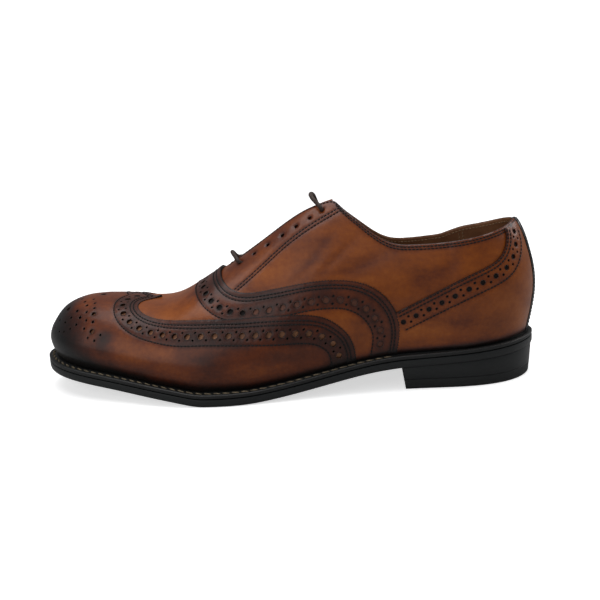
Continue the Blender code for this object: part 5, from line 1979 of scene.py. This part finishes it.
@dataclass
class Lacing:
    """One lace through the bottom and top eyelets, its hidden runs under the facings."""

    last: Last
    finish: bpy.types.Material
    radius: float = 1.25 * MM
    sides: int = 12
    inside: float = -4.4
    plait: float = 2.4 * MM

    def path(self) -> np.ndarray:
        """Centre line of the lace, from the inside of the top outer eyelet round to it again."""
        front = FrontPattern(self.last)
        first, final = EYELETS[0], EYELETS[-1]
        inside = self.inside

        def at(place: float, round_from: float, lift: float) -> np.ndarray:
            """World point at a rib place, a girth from the ridge and a height."""
            flat = np.array([((place - 1.0) * self.last.span, round_from * MM)])
            return front.raise_up(flat, lift * MM)[0][0]

        line = [at(final[0], -final[1], -5.0), at(final[0] - 0.03, -final[1] - 0.5, inside)]
        line += [at(place, -out, inside) for place, out in EYELETS[-2:1:-1]]
        line += [at(first[0] + 0.012, -first[1], inside), at(first[0], -first[1], -1.0),
                 at(first[0] - 0.004, -first[1] + 0.6, 1.6)]
        line += [at(first[0] + lean, first[1] * way, rise) for way, rise, lean in BOTTOM_BAR]
        line += [at(first[0] - 0.004, first[1] - 0.6, 1.6), at(first[0], first[1], -1.0),
                 at(first[0] + 0.012, first[1], inside)]
        line += [at(place, out, inside) for place, out in EYELETS[2:-1]]
        line += [at(final[0] - 0.012, final[1], inside), at(final[0], final[1], -1.0),
                 at(final[0] - 0.003, final[1] - 0.6, 1.8)]
        line += [at(final[0] + lean, final[1] * way, rise) for way, rise, lean in TOP_BAR]
        line += [at(final[0] - 0.003, -final[1] + 0.6, 1.8), at(final[0], -final[1], -1.0),
                 at(final[0] + 0.004, -final[1], -2.6)]
        points = np.array(line)
        run = run_of(points)
        return Spline(run, points)(np.linspace(0.0, run[-1], 420))

    def build(self) -> bpy.types.Object:
        """The lace as a tube with a UV map along it."""
        line = self.path()
        run = run_of(line)
        ahead = np.gradient(line, axis=0)
        ahead /= np.linalg.norm(ahead, axis=1, keepdims=True)
        across = np.cross(ahead[0], (0.0, 0.0, 1.0))
        angle = 2.0 * math.pi * np.arange(self.sides) / self.sides
        rings = []
        for k in range(len(line)):
            across = across - ahead[k] * (across @ ahead[k])
            across /= np.linalg.norm(across)
            square = np.cross(ahead[k], across)
            grow = self.radius * (0.35 if k in (0, len(line) - 1) else 1.0)
            rings.append(line[k] + grow * (np.cos(angle)[:, None] * across + np.sin(angle)[:, None] * square))
        made = grid_object("lace", np.array(rings), self.finish, caps=True)
        mesh = made.data
        layer = mesh.uv_layers.new(name="UVMap")
        for polygon in mesh.polygons:
            spots = [mesh.loops[i].vertex_index for i in polygon.loop_indices]
            turns = [(spot % self.sides) / self.sides for spot in spots]
            wide = max(turns) - min(turns) > 0.5
            for loop, spot, turn in zip(polygon.loop_indices, spots, turns):
                row = spot // self.sides
                layer.data[loop].uv = (turn + (1.0 if wide and turn < 0.5 else 0.0), run[row] / self.plait)
        return made


@dataclass(frozen=True)
class SoftLight:
    """A soft rectangular light: place, aim and size in metres, power in watts."""

    name: str
    place: tuple[float, float, float]
    size: tuple[float, float]
    power: float
    aim: tuple[float, float, float] = (0.0, 0.0, 0.05)

    def build(self) -> None:
        """Hangs the light."""
        data = bpy.data.lights.new(self.name, "AREA")
        data.shape = "RECTANGLE"
        data.size, data.size_y = self.size
        data.energy = self.power
        lamp = bpy.data.objects.new(self.name, data)
        lamp.location = self.place
        lamp.rotation_mode = "QUATERNION"
        lamp.rotation_quaternion = (Vector(self.aim) - Vector(self.place)).to_track_quat("-Z", "Y")
        bpy.context.scene.collection.objects.link(lamp)


# Numbers of a mix node's sockets for colours
COLOUR_A, COLOUR_B, COLOUR_MIXED = 6, 7, 2


@dataclass
class Studio:
    """Pale floor, soft light and the camera at the photograph's angle.

    The camera's focus is in mm and its place in mm from the toe tip; its angles are radians.
    """

    focus: float = 48.43
    eye: tuple[float, float, float] = (197.52, -480.69, 164.19)
    yaw: float = -0.0738
    pitch: float = 0.2364
    roll: float = -0.0551
    floor_size: float = 14.0
    floor_drop: float = 0.05 * MM
    floor_grey: float = 0.42
    world_light: float = 0.20
    lights: tuple[SoftLight, ...] = (
        SoftLight("overhead", (-0.10, 0.10, 1.1), (1.3, 0.9), 8.0),
        SoftLight("front_left", (-0.8, -1.1, 0.75), (1.5, 1.0), 5.2),
        SoftLight("rear", (0.9, 0.25, 0.55), (0.5, 0.5), 2.6, (0.05, 0.0, 0.05)),
    )

    def camera(self, last: Last) -> None:
        """Creates the camera and makes it the scene's."""
        data = bpy.data.cameras.new("camera")
        data.sensor_width = 36.0
        data.lens = self.focus
        data.clip_start, data.clip_end = 0.01, 20.0
        cam = bpy.data.objects.new("camera", data)
        bpy.context.scene.collection.objects.link(cam)
        ahead = Vector((math.cos(self.pitch) * math.sin(self.yaw), math.cos(self.pitch) * math.cos(self.yaw),
                        -math.sin(self.pitch)))
        right = Vector((math.cos(self.yaw), -math.sin(self.yaw), 0.0))
        up = right.cross(ahead)
        s, c = math.sin(self.roll), math.cos(self.roll)
        across, above = right * c + up * s, up * c - right * s
        turn = Matrix((across, above, -ahead)).transposed().to_4x4()
        cam.matrix_world = Matrix.Translation(Vector(self.eye) * MM + Vector(last.shift)) @ turn
        bpy.context.scene.camera = cam

    def floor(self) -> bpy.types.Object:
        """A plain pale floor, which fades to white far away and throws little light back."""
        tool = bmesh.new()
        bmesh.ops.create_grid(tool, x_segments=2, y_segments=2, size=self.floor_size)
        mesh = bpy.data.meshes.new("floor")
        tool.to_mesh(mesh)
        tool.free()
        finish, bench, shader = new_material("floor_paper")
        place = bench.place()
        noise = bench.noise(Vector=place, Scale=3.0)
        paper = ramp(bench, noise, ((0.3, (244, 244, 244)), (0.7, (249, 249, 249))))
        away = bench.add("ShaderNodeVectorMath", operation="LENGTH")
        bench.join(place, away.inputs[0])
        far = bench.math("MULTIPLY", bench.math("SUBTRACT", away.outputs["Value"], 0.35), 0.6)
        glow = ramp(bench, far, ((0.0, (206, 206, 206)), (1.0, (255, 255, 255))))
        for title, unseen, seen in (("Base Color", self.floor_grey, paper), ("Emission Color", 0.0, glow)):
            mixed = bench.add("ShaderNodeMix", data_type="RGBA")
            bench.join(bench.add("ShaderNodeLightPath").outputs["Is Camera Ray"], mixed.inputs[0])
            mixed.inputs[COLOUR_A].default_value = (unseen, unseen, unseen, 1.0)
            bench.join(seen, mixed.inputs[COLOUR_B])
            bench.join(mixed.outputs[COLOUR_MIXED], shader.inputs[title])
        shader.inputs["Emission Strength"].default_value = 1.0
        shader.inputs["Roughness"].default_value = 0.9
        mesh.materials.append(finish)
        made = add_object("floor", mesh)
        made.location.z = -self.floor_drop
        return made

    def set_up(self, last: Last) -> bpy.types.Object:
        """Camera, lights, world and floor.

        Returns:
            The floor.
        """
        self.camera(last)
        world = bpy.data.worlds.new("studio")
        world.use_nodes = True
        bench = NodeBench(world.node_tree)
        back = world.node_tree.nodes["Background"]
        back.inputs["Color"].default_value = (0.97, 0.98, 1.0, 1.0)
        seen = bench.add("ShaderNodeLightPath").outputs["Is Camera Ray"]
        bench.join(bench.math("ADD", seen, self.world_light), back.inputs["Strength"])
        bpy.context.scene.world = world
        bpy.context.scene.view_settings.view_transform = "Standard"
        for light in self.lights:
            light.build()
        return self.floor()


def ride(made: bpy.types.Object, slot: str, *nodes: str) -> None:
    """Fixes a piece to the shoe and hides the CAD nodes that it stands for."""
    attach(made, "root")
    if nodes:
        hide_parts(*nodes)
    log.info("%s: %d faces", made.name, len(made.data.polygons))


def main() -> None:
    """Builds the shoe's dress in order and reports each piece."""
    logging.basicConfig(level=logging.INFO, format="%(message)s")
    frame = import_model()
    last = Last()
    floor = Studio().set_up(last)
    finishes = Finishes()
    sewing = Haberdashery(finishes)
    upper = Upper(last, finishes, sewing)
    ride(upper.wing_cap(), "burnished_calf", "wing_cap")
    ride(upper.vamp(), "tan_calf", "vamp")
    for side in Side:
        ride(upper.counter(side), "tan_calf", "counter_" + side.name.lower())
    ride(upper.back_strip(), "black_leather", "back_strip")
    ride(upper.shell(), "tan_calf", "upper")
    ride(upper.tongue(), "tan_calf", "tongue")
    for made in sewing.finish():
        ride(made, "tan_calf")
    sole = SoleUnit(last, finishes)
    ride(sole.welt(), "black_leather", "welt")
    ride(sole.welt_stitches(), "black_leather")
    ride(sole.outsole(), "black_leather", "outsole")
    stack, lift = sole.heel()
    ride(stack, "black_leather", "heel_stack")
    ride(lift, "black_rubber", "top_lift")
    ride(sole.insole(), "lining", "insole")
    ride(Lacing(last, finishes.lace).build(), "lace", "lace_bar_bottom", "lace_bar_top")
    log.info("nodes in the frame: %d", len(frame["nodes"]))


if __name__ == "__main__":
    main()
